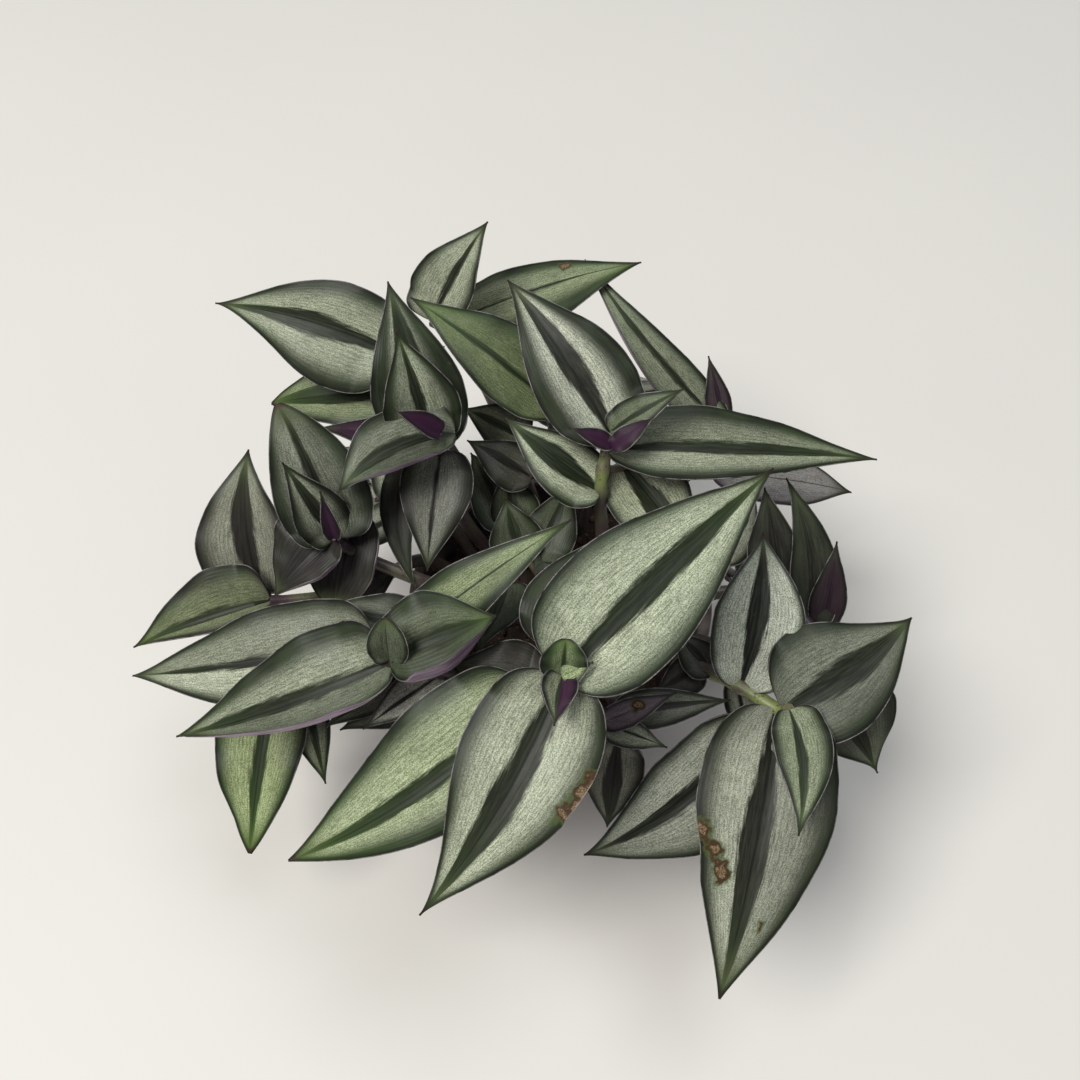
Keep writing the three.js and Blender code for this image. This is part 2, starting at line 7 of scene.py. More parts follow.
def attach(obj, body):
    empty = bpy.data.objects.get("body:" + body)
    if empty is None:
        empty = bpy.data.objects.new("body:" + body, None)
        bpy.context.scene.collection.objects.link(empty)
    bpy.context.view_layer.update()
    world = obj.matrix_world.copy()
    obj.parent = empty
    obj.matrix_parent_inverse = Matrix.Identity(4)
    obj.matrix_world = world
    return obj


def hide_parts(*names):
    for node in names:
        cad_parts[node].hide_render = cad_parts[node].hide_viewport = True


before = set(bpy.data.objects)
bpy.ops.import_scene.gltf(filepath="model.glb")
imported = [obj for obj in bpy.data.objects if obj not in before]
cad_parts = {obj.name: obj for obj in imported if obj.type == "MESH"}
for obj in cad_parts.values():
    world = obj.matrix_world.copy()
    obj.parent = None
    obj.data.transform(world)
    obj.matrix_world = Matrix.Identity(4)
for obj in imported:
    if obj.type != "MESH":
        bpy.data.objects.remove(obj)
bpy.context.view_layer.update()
bpy.ops.object.select_all(action="DESELECT")


# Camera: it looks down on the plant at 57 degrees below the level, from 38 cm away, as a person
# standing at the table does. Places in the picture are read in a frame of 1080 x 1080.
EYE = Vector((-0.006, -0.156, 0.346))
LOOKS_DOWN = math.radians(57)
FOCAL = 1050
FRAME = 1080
SENSOR = 36

bpy.ops.object.camera_add(location=EYE, rotation=(math.pi / 2 - LOOKS_DOWN, 0, 0))
camera = bpy.context.object
camera.data.sensor_width = SENSOR
camera.data.lens = SENSOR * FOCAL / FRAME
camera.data.clip_start = 0.01
bpy.context.scene.camera = camera


# Table top: plain, pale and matt, with the faintest cloudiness, so the soft shadows read.
def linear(red, green, blue):
    """A colour given on a 0-255 scale, as the shader wants it."""
    channels = []
    for channel in (red, green, blue):
        share = channel / 255
        channels.append(share / 12.92 if share <= 0.04045 else ((share + 0.055) / 1.055) ** 2.4)
    return (*channels, 1)


class Finish:
    """A material and the nodes that paint it."""

    def __init__(self, name):
        self.material = bpy.data.materials.new(name)
        self.material.use_nodes = True
        self.tree = self.material.node_tree
        self.shader = self.tree.nodes["Principled BSDF"]

    def node(self, kind, settings=None, **inputs):
        """A node with its settings, each named input a value or another node's output."""
        made = self.tree.nodes.new("ShaderNode" + kind)
        for key, value in (settings or {}).items():
            setattr(made, key, value)
        for key, value in inputs.items():
            self.feed(made, key.replace("_", " "), value)
        return made

    def feed(self, node, key, value):
        socket = node.inputs[int(key[1:])] if key[:1] == "i" and key[1:].isdigit() else node.inputs[key]
        if isinstance(value, bpy.types.NodeSocket):
            self.tree.links.new(value, socket)
        else:
            socket.default_value = value

    def math(self, operation, first, second=0.0, third=0.0):
        return self.node("Math", {"operation": operation}, i0=first, i1=second, i2=third).outputs[0]

    def times(self, first, second):
        return self.math("MULTIPLY", first, second)

    def scaled(self, value, by, plus):
        return self.math("MULTIPLY_ADD", value, by, plus)

    def ramp(self, value, low, high):
        """0 below low, 1 above high, smooth between; low may be over high."""
        made = self.node("MapRange", {"interpolation_type": "SMOOTHSTEP"}, Value=value)
        self.feed(made, "From Min", low)
        self.feed(made, "From Max", high)
        return made.outputs["Result"]

    def mix(self, share, first, second):
        made = self.node("Mix", {"data_type": "RGBA"}, i0=share, i6=first, i7=second)
        return made.outputs[2]

    def noise(self, vector, scale, detail=2.0, roughness=0.5):
        made = self.node("TexNoise", Vector=vector, Scale=scale, Detail=detail, Roughness=roughness)
        return made.outputs["Fac"]

    def stretched(self, vector, scale):
        return self.node("Mapping", Vector=vector, Scale=scale).outputs[0]

    def bump(self, height, strength, distance):
        made = self.node("Bump", Height=height, Strength=strength, Distance=distance)
        self.feed(self.shader, "Normal", made.outputs["Normal"])

    def set(self, **inputs):
        for key, value in inputs.items():
            self.feed(self.shader, key.replace("_", " "), value)


TABLE_COLOUR = linear(218, 216, 208)
TABLE_SHADE = linear(213, 210, 203)

bpy.ops.mesh.primitive_plane_add(size=8)
table = bpy.context.object
table.name = "table_top"
table_finish = Finish("pale_table")
table_place = table_finish.node("TexCoord").outputs["Object"]
table_cloud = table_finish.noise(table_place, 6.0)
table_finish.set(Base_Color=table_finish.mix(table_cloud, TABLE_COLOUR, TABLE_SHADE), Roughness=0.6)
table.data.materials.append(table_finish.material)


# Light: a broad window lamp high on the left and a little in front, a weaker cool lamp over the
# back right, and a pale room, so the shadow falls soft to the right.
def soft_lamp(name, place, size, watts, colour):
    bpy.ops.object.light_add(type="AREA", location=place)
    lamp = bpy.context.object
    lamp.name = name
    lamp.data.shape = "DISK"
    lamp.data.size = size
    lamp.data.energy = watts
    lamp.data.color = colour
    lamp.rotation_euler = Vector(place).to_track_quat("Z", "Y").to_euler()


soft_lamp("window_lamp", (-1.0, -0.5, 2.1), 1.1, 48, (1.0, 0.985, 0.955))
soft_lamp("room_lamp", (0.55, 0.4, 2.4), 1.1, 14, (0.9, 0.95, 1.0))
room = bpy.data.worlds.new("pale_room")
room.use_nodes = True
room.node_tree.nodes["Background"].inputs["Color"].default_value = (0.93, 0.95, 1.0, 1)
room.node_tree.nodes["Background"].inputs["Strength"].default_value = 0.3
bpy.context.scene.world = room
bpy.context.scene.view_settings.view_transform = "Standard"


# Pot: a thin tapered nursery pot of taupe plastic, moulded in one piece, with a hemmed rim that
# stacks, a raised ring under it and six drain holes in the base. Its colour is partly the plastic's own and
# partly painted shade under the leaves.
POT_PROFILE = [
    (29.6, 0.0), (30.6, 0.25), (31.1, 0.9), (33.4, 15.0), (37.6, 42.0), (41.4, 66.0),
    (41.75, 68.0), (42.1, 69.0), (43.9, 69.05), (44.7, 69.35), (45.0, 70.0), (45.0, 74.9),
    (44.75, 75.6), (44.1, 75.95), (42.6, 76.0), (41.8, 75.8), (41.4, 75.3), (41.2, 72.0),
    (38.2, 52.0), (29.75, 2.6), (29.2, 2.1), (28.0, 2.0),
]
POT_ROUND = 128
DRAIN_HOLES = 6
DRAIN_RADIUS = 0.0035
DRAIN_CIRCLE = 0.020
DRAIN_ROUND = 32
DRILL_LENGTH = 0.012


def turned(name, profile, around):
    """A closed body turned on Z: its flat underside extruded and resized ring by ring, in mm."""
    first_radius, first_height = profile[0]
    bpy.ops.mesh.primitive_circle_add(
        vertices=around, radius=first_radius / 1000, fill_type="NGON",
        location=(0, 0, first_height / 1000))
    piece = bpy.context.object
    piece.name = name
    bpy.ops.object.transform_apply(location=True)
    bpy.ops.object.mode_set(mode="EDIT")
    bpy.ops.mesh.select_all(action="SELECT")
    radius, height = first_radius, first_height
    for next_radius, next_height in profile[1:]:
        rise = (0, 0, (next_height - height) / 1000)
        bpy.ops.mesh.extrude_region_move(TRANSFORM_OT_translate={"value": rise})
        grow = next_radius / radius
        bpy.ops.transform.resize(value=(grow, grow, 1), center_override=(0, 0, next_height / 1000))
        radius, height = next_radius, next_height
    bpy.ops.mesh.select_all(action="SELECT")
    bpy.ops.mesh.normals_make_consistent(inside=False)
    bpy.ops.object.mode_set(mode="OBJECT")
    return piece


def dressed(piece, node, angle=35):
    """Shades a finished piece and has it stand for its node of the frame."""
    bpy.ops.object.select_all(action="DESELECT")
    piece.select_set(True)
    bpy.context.view_layer.objects.active = piece
    bpy.ops.object.shade_smooth_by_angle(angle=math.radians(angle))
    bpy.ops.object.select_all(action="DESELECT")
    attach(piece, "root")
    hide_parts(node)


pot = turned("nursery_pot", POT_PROFILE, POT_ROUND)
for hole in range(DRAIN_HOLES):
    turn = 2 * math.pi * hole / DRAIN_HOLES
    place = (DRAIN_CIRCLE * math.cos(turn), DRAIN_CIRCLE * math.sin(turn), 0)
    bpy.ops.mesh.primitive_cylinder_add(
        vertices=DRAIN_ROUND, radius=DRAIN_RADIUS, depth=DRILL_LENGTH, location=place)
    drill = bpy.context.object
    cut = pot.modifiers.new("drain", "BOOLEAN")
    cut.object = drill
    cut.operation = "DIFFERENCE"
    bpy.context.view_layer.objects.active = pot
    bpy.ops.object.modifier_apply(modifier=cut.name)
    bpy.data.objects.remove(drill)

pot_finish = Finish("taupe_plastic_and_shade")
pot_place = pot_finish.node("TexCoord").outputs["Object"]
pot_cloud = pot_finish.noise(pot_place, 38.0, 3.0)
pot_flow = pot_finish.noise(pot_finish.stretched(pot_place, (260, 260, 18)), 1.0, 3.0)
pot_height = pot_finish.node("SeparateXYZ", Vector=pot_place).outputs["Z"]
pot_dust = pot_finish.times(
    pot_finish.ramp(pot_height, 0.050, 0.074), pot_finish.ramp(pot_flow, 0.48, 0.7))
# Taupe body colour: partly the plastic's own, partly painted shade under the leaves
pot_taupe_and_shade = pot_finish.mix(pot_cloud, linear(92, 82, 78), linear(108, 97, 91))
pot_finish.set(
    Base_Color=pot_finish.mix(pot_finish.times(pot_dust, 0.35), pot_taupe_and_shade, linear(58, 46, 38)),
    Roughness=pot_finish.scaled(pot_flow, 0.22, 0.38))
pot_grain = pot_finish.noise(pot_place, 1800.0, 2.0)
pot_finish.bump(pot_finish.scaled(pot_flow, 2.0, pot_grain), 0.25, 0.0001)
pot.data.materials.append(pot_finish.material)
dressed(pot, "pot", 30)


# Potting mix: dark peat and fine bark, heaped a little unevenly and pressed in up to 9 mm below
# the rim, with loose crumbs and chips lying on it. The peat's colour is partly its own and partly painted
# shade under the leaves.
SOIL_TOP = 0.067
SOIL_PROFILE = [(30.0, 2.4), (30.4, 8.0), (38.6, 62.0), (39.2, 66.6), (36.0, 67.0), (32.0, 67.0)]
SOIL_ROUND = 72
SOIL_RINGS = 7
RING_WIDTH = 0.0042
SOIL_SWELL = 0.0011
SOIL_GRIT = 0.0006
CRUMBS = 420
CRUMB_SIZES = (0.0005, 0.0012)
CHIP_SHARE = 0.3
CHIP_SIZES = (0.0011, 0.0024)
SCATTER_RADIUS = 0.038

soil = turned("potting_mix", SOIL_PROFILE, SOIL_ROUND)
bpy.ops.object.mode_set(mode="EDIT")
for _ in range(SOIL_RINGS):
    bpy.ops.mesh.inset(thickness=RING_WIDTH)
bpy.ops.mesh.poke()
bpy.ops.mesh.select_all(action="SELECT")
bpy.ops.mesh.subdivide(number_cuts=1)
bpy.ops.object.mode_set(mode="OBJECT")
for point in soil.data.vertices:
    if point.co.z > SOIL_TOP - SOIL_GRIT:
        point.co.z += SOIL_SWELL * noise.noise(point.co * 90) + SOIL_GRIT * noise.noise(point.co * 420)

bpy.ops.mesh.primitive_ico_sphere_add(subdivisions=1, radius=1)
crumb = bpy.context.object
draw = random.Random(5)
scattered = []
for number in range(CRUMBS):
    reach = SCATTER_RADIUS * math.sqrt(draw.random())
    turn = draw.uniform(0, 2 * math.pi)
    chip = draw.random() < CHIP_SHARE
    size = draw.uniform(*(CHIP_SIZES if chip else CRUMB_SIZES))
    shape = Matrix.Diagonal((size, size * 0.55, size * (0.3 if chip else 0.7)))
    lean = Matrix.Rotation(draw.uniform(0, 6.28), 3, "Z") @ Matrix.Rotation(draw.uniform(-0.5, 0.5), 3, "X")
    rest = Vector((reach * math.cos(turn), reach * math.sin(turn), SOIL_TOP + size * 0.25))
    lump = crumb.copy()
    lump.data = crumb.data.copy()
    bpy.context.scene.collection.objects.link(lump)
    for point in lump.data.vertices:
        rough = 1 + 0.3 * noise.noise(point.co * 2 + Vector((number, 0, 0)))
        point.co = lean @ (shape @ (point.co * rough)) + rest
    scattered.append(lump)
bpy.data.objects.remove(crumb)
for lump in scattered:
    lump.select_set(True)
bpy.context.view_layer.objects.active = scattered[0]
bpy.ops.object.join()
crumbs = bpy.context.object
crumbs.name = "soil_crumbs"

soil_finish = Finish("dark_peat_and_shade")
soil_place = soil_finish.node("TexCoord").outputs["Object"]
soil_lumps = soil_finish.noise(soil_place, 320.0, 4.0, 0.6)
soil_specks = soil_finish.noise(soil_place, 900.0, 1.0)
# Peat colour: partly its own dark brown, partly painted shade under the leaves
soil_peat_and_shade = soil_finish.mix(soil_lumps, linear(20, 15, 12), linear(66, 50, 38))
soil_finish.set(
    Base_Color=soil_finish.mix(soil_finish.ramp(soil_specks, 0.66, 0.74), soil_peat_and_shade, linear(104, 82, 60)),
    Roughness=0.92)
soil_finish.bump(soil_lumps, 0.8, 0.0008)
bark_finish = Finish("bark_crumb")
bark_place = bark_finish.node("TexCoord").outputs["Object"]
bark_tone = bark_finish.noise(bark_place, 140.0, 1.0)
bark_grain = bark_finish.noise(bark_finish.stretched(bark_place, (900, 300, 300)), 1.0, 3.0)
bark_finish.set(
    Base_Color=bark_finish.mix(bark_finish.ramp(bark_tone, 0.3, 0.7), linear(34, 25, 19), linear(96, 70, 48)),
    Roughness=0.85)
bark_finish.bump(bark_grain, 0.6, 0.0003)
soil.data.materials.append(soil_finish.material)
crumbs.data.materials.append(bark_finish.material)
dressed(soil, "soil", 60)
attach(crumbs, "root")


# Front shoot: the nearest stem of the plant, with the two largest leaves, and the stem tip with its
# young leaves. A stem is olive green and fleshy, jointed where each leaf clasps it; a leaf is one
# thin blade, silver striped over dark green on its face and violet beneath.
MM = 0.001
LEAF_LOOK = {"inner": 0.2, "outer": 0.8, "silver": 0.85, "green": 0.25, "plum": 0.05}
FACING = Vector((0, -0.28, 0.96))
STRIPS_ACROSS = 18
STRIPS_ALONG = 48
VEINS = 26
BACK_VEINS = 30
BLADE_THICKNESS = 0.65 * MM
MARGIN_THICKNESS = 0.45
FULL_THICKNESS_FROM = 2.5
BASE_HALF_WIDTH = 1.2 * MM
TIP_HALF_WIDTH = 0.25 * MM
BASE_ROUNDING = 2.8
TIP_CURVE = 1.6
WIDEST_AT = 0.32
TAPER = 1.4
ARCH = 0.06
FOLD = 0.12
BASE_FOLD = 0.55
CHANNEL = 0.7 * MM
BULGE = 0.06
RIPPLE = 0.6 * MM
TWIST = 7
TIP_AT = 0.985
TURN_UP_FROM = 0.6
FLAT_SHARE = 0.8
STALK_FROM = 5 * MM
STALK_RADIUS = 1.1 * MM
STALK_SHARE = 0.05
STEM_ROOT_RADIUS = 2.2
STEM_TIP_RADIUS = 1.4
STEM_PIECES = 42
NODE_SWELL = 0.45
NODE_LENGTH = 3.5 * MM
NODE_TINT = (2 * MM, 6 * MM)
# How dark plum the lower stem turns, and over what span from the tip: partly its own colour, partly painted
# shade inside the mound
FOOT_PLUM_AND_SHADE = 0.85
STEM_DARKENS_FROM_TIP = (11 * MM, 19 * MM)
HOLE_FLOOR = 53.3
STEM_COLLAR = 70


def seen(px, py, height):
    """The place, at a height in mm, that the camera shows at a pixel of its 1080 x 1080 frame."""
    forward = Vector((0, math.cos(LOOKS_DOWN), -math.sin(LOOKS_DOWN)))
    up = Vector((0, math.sin(LOOKS_DOWN), math.cos(LOOKS_DOWN)))
    ray = forward * FOCAL + up * (FRAME / 2 - py) + Vector((px - FRAME / 2, 0, 0))
    return EYE + ray * ((height * MM - EYE.z) / ray.z)


def fullness(along, widest, taper):
    """Half the width of a blade at a share of its length, as a share of its widest half."""
    if along < widest:
        return (1 - ((widest - along) / widest) ** BASE_ROUNDING) ** (1 / BASE_ROUNDING)
    return (1 - ((along - widest) / (1 - widest)) ** TIP_CURVE) ** taper


def leaf(at, tip, wide, **form):
    """A blade that runs between two places seen by the camera; wide is left and right of travel."""
    return {"base": seen(*at), "tip": seen(*tip), "wide": wide, "face": FACING, **form}


def smooth_step(value, low, high):
    share = min(max((value - low) / (high - low), 0), 1)
    return share * share * (3 - 2 * share)


def along_blade(point):
    """How far along the blade a point of the flat sheet lies: closer rows at base and tip."""
    even = point.y + 0.5
    return TIP_AT * (0.25 * even + 0.75 * (1 - math.cos(math.pi * even)) / 2)


def blade_points(row, flat, ripple):
    """Where the points of the flat blade go, and how far each lies from the blade's margin."""
    base, tip = row["base"], row["tip"]
    length = (tip - base).length
    along_line = (tip - base) / length
    above = row["face"] - along_line * row["face"].dot(along_line)
    above = Matrix.Rotation(math.radians(row.get("roll", 0)), 3, along_line) @ above.normalized()
    left = above.cross(along_line)
    crown = (base + tip) / 2 + above * 2 * row.get("arch", ARCH) * length
    crown += left * 2 * row.get("bow", 0) * length
    phase = ripple.uniform(0, 6.28)
    waves = ripple.uniform(2.2, 3.4)
    twist = math.radians(ripple.uniform(-TWIST, TWIST))
    places, margins = [], []
    for point in flat:
        t = along_blade(point)
        centre = base * (1 - t) ** 2 + crown * 2 * t * (1 - t) + tip * t * t
        ahead = ((crown - base) * (1 - t) + (tip - crown) * t).normalized()
        turned_above = Matrix.Rotation(twist * (t - 0.3), 3, along_line) @ above
        side = turned_above.cross(ahead).normalized()
        normal = ahead.cross(side)
        across = -2 * point.x
        left_half = across > 0
        across = abs(across)
        share = fullness(t, row.get("peak", WIDEST_AT), row.get("taper", TAPER))
        least = TIP_HALF_WIDTH if t > 0.5 else BASE_HALF_WIDTH
        half = max(row["wide"][0 if left_half else 1] * MM * share, least)
        for along, beside, bite in row.get("bites", []):
            if (beside > 0) == left_half:
                half -= bite * MM * max(0, 1 - abs(t - along) * length / (abs(beside) * MM))
        fold = row.get("fold", FOLD) + BASE_FOLD * (1 - smooth_step(t, 0, 0.16))
        reach = half * across
        rise = fold * (math.hypot(reach, CHANNEL) - CHANNEL)
        rise += BULGE * half * math.sin(math.pi * across)
        swing = math.sin(2 * math.pi * waves * t + phase + (1.9 if left_half else 0))
        rise += min(0.05 * half, RIPPLE) * across * across * swing * smooth_step(t, 0.05, 0.3)
        height = row.get("turned_up", (0, 0))[0 if left_half else 1] * MM
        height *= smooth_step(t, 0.03, 0.25) * smooth_step(1 - t, 0.05, 0.4)
        if height > 0 and across > TURN_UP_FROM:
            up = (across - TURN_UP_FROM) / (1 - TURN_UP_FROM)
            flat_end, rolled_end = half * FLAT_SHARE, half - 0.25 * height
            reach = (1 - up) ** 2 * flat_end + 2 * up * (1 - up) * half + up * up * rolled_end
            rise += up * up * height
        elif height > 0:
            reach = half * FLAT_SHARE * across / TURN_UP_FROM
        places.append(centre + side * math.copysign(reach, 1 if left_half else -1) + normal * rise)
        margins.append(half * (1 - across) / MM)
    return places, margins


def painted(finish, name):
    """How much of a look a piece's points carry, from its painted layer of that name."""
    return finish.node("Attribute", {"attribute_name": name}).outputs["Fac"]


# Face of a leaf: the sheet's own coordinates, and where its stripes begin and end across it
leaf_face = Finish("striped_leaf")
leaf_uv = leaf_face.node("UVMap", {"uv_map": "blade"}).outputs[0]
leaf_mm = leaf_face.node("UVMap", {"uv_map": "grain"}).outputs[0]
leaf_place = leaf_face.node("TexCoord").outputs["Object"]
leaf_axes = leaf_face.node("SeparateXYZ", Vector=leaf_uv)
leaf_u, leaf_v = leaf_axes.outputs["X"], leaf_axes.outputs["Y"]
plum = painted(leaf_face, "plum")
green = painted(leaf_face, "green")
margin_mm = painted(leaf_face, "margin")
from_midrib = leaf_face.times(leaf_face.math("ABSOLUTE", leaf_face.math("SUBTRACT", leaf_u, 0.5)), 2.0)
streaks = leaf_face.noise(leaf_face.stretched(leaf_mm, (1.5, 0.12, 1)), 1.0, 4.0, 0.65)
clouds = leaf_face.noise(leaf_face.stretched(leaf_mm, (0.22, 0.09, 1)), 1.0, 2.0)
wander = leaf_face.scaled(leaf_face.math("SUBTRACT", streaks, 0.5), 0.2, from_midrib)
wander = leaf_face.scaled(leaf_face.math("SUBTRACT", clouds, 0.5), 0.14, wander)
band = leaf_face.scaled(leaf_face.ramp(leaf_v, 0.0, 0.55), 0.65, 0.45)
inner = leaf_face.times(painted(leaf_face, "inner"), band)
outer = painted(leaf_face, "outer")
inside = leaf_face.ramp(
    wander, leaf_face.math("SUBTRACT", inner, 0.04), leaf_face.math("ADD", inner, 0.06))
outside = leaf_face.ramp(
    wander, leaf_face.math("ADD", outer, 0.1), leaf_face.math("SUBTRACT", outer, 0.26))
past_stripe = leaf_face.ramp(wander, inner, outer)
grains = leaf_face.noise(leaf_face.stretched(leaf_mm, (3.0, 0.35, 1)), 1.0, 2.0, 0.6)
specks = leaf_face.noise(leaf_place, 3600.0, 1.0)
sparkle = leaf_face.scaled(grains, 0.4, leaf_face.times(specks, 0.6))
veins = leaf_face.math("SINE", leaf_face.times(leaf_u, 2 * math.pi * VEINS))

# The dark ground of the face: near black by the midrib, greener outwards, plum where it is young
dark_tone = leaf_face.mix(leaf_face.ramp(streaks, 0.35, 0.7), linear(24, 26, 21), linear(52, 56, 46))
dark_tone = leaf_face.mix(leaf_face.times(green, 0.7), dark_tone, linear(48, 62, 34))
edge_green = leaf_face.mix(leaf_face.ramp(clouds, 0.3, 0.7), linear(28, 35, 24), linear(54, 66, 42))
edge_share = leaf_face.times(past_stripe, leaf_face.scaled(green, 0.6, 0.4))
dark_tone = leaf_face.mix(edge_share, dark_tone, edge_green)
tip_green = leaf_face.times(green, leaf_face.ramp(leaf_v, 0.45, 0.85))
dark_tone = leaf_face.mix(tip_green, dark_tone, linear(56, 74, 38))
dark_tone = leaf_face.mix(leaf_face.times(plum, 0.92), dark_tone, linear(52, 24, 48))

# The silver stripes: air under the skin, in fine bright specks between the veins
silver_dim = leaf_face.mix(green, linear(124, 131, 114), linear(110, 126, 80))
silver_lit = leaf_face.mix(green, linear(208, 211, 193), linear(186, 197, 150))
silver_tone = leaf_face.mix(leaf_face.ramp(sparkle, 0.36, 0.64), silver_dim, silver_lit)
vein_line = leaf_face.times(leaf_face.ramp(veins, 0.2, 1.0), 0.26)
silver_tone = leaf_face.mix(vein_line, silver_tone, linear(70, 88, 56))
silver_tone = leaf_face.mix(leaf_face.times(plum, 0.75), silver_tone, linear(124, 96, 120))
silver_share = leaf_face.times(leaf_face.times(inside, outside), painted(leaf_face, "silver"))
silver_share = leaf_face.times(silver_share, leaf_face.scaled(past_stripe, -0.3, 1.0))
silver_share = leaf_face.times(silver_share, leaf_face.scaled(leaf_face.ramp(clouds, 0.25, 0.6), 0.25, 0.8))
silver_share = leaf_face.times(silver_share, leaf_face.ramp(leaf_v, 1.0, 0.8))
silver_share = leaf_face.times(silver_share, leaf_face.scaled(leaf_face.ramp(streaks, 0.3, 0.6), 0.25, 0.8))
body_tone = leaf_face.mix(silver_share, dark_tone, silver_tone)

# The midrib's crease darkened with painted shade, the paler end of the blade, its withered point and its dark
# rim
midrib_crease_shade = leaf_face.times(leaf_face.ramp(from_midrib, 0.045, 0.01), 0.55)
body_tone = leaf_face.mix(midrib_crease_shade, body_tone, linear(16, 17, 15))
end_tone = leaf_face.mix(green, linear(82, 90, 62), linear(86, 106, 50))
body_tone = leaf_face.mix(leaf_face.times(leaf_face.ramp(leaf_v, 0.74, 0.96), 0.6), body_tone, end_tone)
point_share = leaf_face.ramp(leaf_face.scaled(streaks, 0.05, leaf_v), 0.965, 0.99)
body_tone = leaf_face.mix(point_share, body_tone, linear(78, 58, 46))
dark_rim = leaf_face.times(leaf_face.ramp(margin_mm, 1.6, 0.4), 0.75)
body_tone = leaf_face.mix(dark_rim, body_tone, linear(20, 22, 17))

# Scars: yellow-green round them, brown and crusty within; and the violet flush at a young base
blotch = leaf_face.noise(leaf_place, 380.0, 2.0)
worn = leaf_face.scaled(leaf_face.math("SUBTRACT", blotch, 0.5), 1.1, painted(leaf_face, "scar"))
worn_ring = leaf_face.times(leaf_face.ramp(worn, 0.22, 0.46), 0.7)
body_tone = leaf_face.mix(worn_ring, body_tone, linear(72, 84, 44))
scar_tone = leaf_face.mix(leaf_face.ramp(worn, 0.62, 0.75), linear(56, 42, 28), linear(132, 112, 86))
scar_tone = leaf_face.mix(leaf_face.ramp(sparkle, 0.56, 0.42), scar_tone, linear(74, 56, 38))
body_tone = leaf_face.mix(leaf_face.ramp(worn, 0.42, 0.55), body_tone, scar_tone)
flush = leaf_face.times(leaf_face.ramp(leaf_v, 0.1, 0.0), leaf_face.ramp(plum, 0.05, 0.5))
body_tone = leaf_face.mix(leaf_face.times(flush, 0.7), body_tone, linear(58, 26, 54))

# The fringe of short pale hairs on the rim, then gloss and relief
hairs = leaf_face.noise(leaf_face.stretched(leaf_mm, (0.0, 0.25, 1)), 1.0, 2.0)
hairs = leaf_face.times(leaf_face.ramp(hairs, 0.3, 0.6), leaf_face.ramp(specks, 0.2, 0.5))
fringe = leaf_face.times(leaf_face.ramp(margin_mm, 0.3, 0.12), hairs)
fringe = leaf_face.times(fringe, leaf_face.ramp(leaf_v, 0.96, 0.8))
body_tone = leaf_face.mix(leaf_face.times(fringe, 0.5), body_tone, linear(176, 170, 166))
leaf_face.set(Base_Color=body_tone, Roughness=leaf_face.scaled(grains, 0.18, 0.3), Specular_IOR_Level=0.14)
ridges = leaf_face.times(leaf_face.ramp(veins, -1.0, 1.0), 0.25)
ridges = leaf_face.scaled(clouds, 3.0, ridges)
leaf_face.bump(leaf_face.scaled(sparkle, 0.5, ridges), 0.5, 0.00012)

# Underside: violet, with a paler lavender edge that shows where a margin turns up
leaf_back = Finish("violet_underside")
back_uv = leaf_back.node("UVMap", {"uv_map": "blade"}).outputs[0]
back_mm = leaf_back.node("UVMap", {"uv_map": "grain"}).outputs[0]
back_u = leaf_back.node("SeparateXYZ", Vector=back_uv).outputs["X"]
back_streaks = leaf_back.noise(leaf_back.stretched(back_mm, (1.1, 0.1, 1)), 1.0, 3.0)
back_veins = leaf_back.math("SINE", leaf_back.times(back_u, 2 * math.pi * BACK_VEINS))
back_tone = leaf_back.mix(leaf_back.ramp(back_streaks, 0.3, 0.7), linear(72, 38, 70), linear(140, 102, 142))
back_lines = leaf_back.times(leaf_back.ramp(back_veins, 0.4, 1.0), 0.3)
back_tone = leaf_back.mix(back_lines, back_tone, linear(64, 32, 64))
back_edge = leaf_back.scaled(leaf_back.ramp(back_streaks, 0.35, 0.65), 0.35, 0.3)
back_edge = leaf_back.times(back_edge, leaf_back.ramp(painted(leaf_back, "margin"), 7.0, 1.0))
back_tone = leaf_back.mix(back_edge, back_tone, linear(186, 166, 184))
leaf_back.set(Base_Color=back_tone, Roughness=0.46, Specular_IOR_Level=0.4)
leaf_back.bump(back_veins, 0.4, 0.0001)

# The thin edge of a blade, and the skin of a stem: olive with plum flecks, darker plum where it is older and
# lower down, which is partly its own colour and partly painted shade inside the mound
leaf_rim = Finish("leaf_margin")
rim_place = leaf_rim.node("TexCoord").outputs["Object"]
leaf_rim.set(
    Base_Color=leaf_rim.mix(leaf_rim.noise(rim_place, 900.0), linear(34, 32, 30), linear(84, 78, 74)),
    Roughness=0.5)

stem_skin = Finish("fleshy_stem")
stem_place = stem_skin.node("TexCoord").outputs["Object"]
stem_blotch = stem_skin.noise(stem_place, 160.0, 3.0)
stem_fleck = stem_skin.noise(stem_place, 1300.0, 1.0)
stem_tone = stem_skin.mix(stem_skin.ramp(stem_blotch, 0.38, 0.66), linear(128, 140, 80), linear(98, 88, 74))
stem_tone = stem_skin.mix(stem_skin.ramp(stem_fleck, 0.6, 0.72), stem_tone, linear(70, 48, 62))
# Dark plum of the joints and the lower stem: its own colour, and on the lower stem also painted shade
stem_plum_and_shade = stem_skin.mix(stem_blotch, linear(36, 24, 32), linear(66, 48, 54))
stem_tone = stem_skin.mix(painted(stem_skin, "plum"), stem_tone, stem_plum_and_shade)
stem_skin.set(Base_Color=stem_tone, Roughness=0.42)
stem_skin.bump(stem_fleck, 0.3, 0.0001)

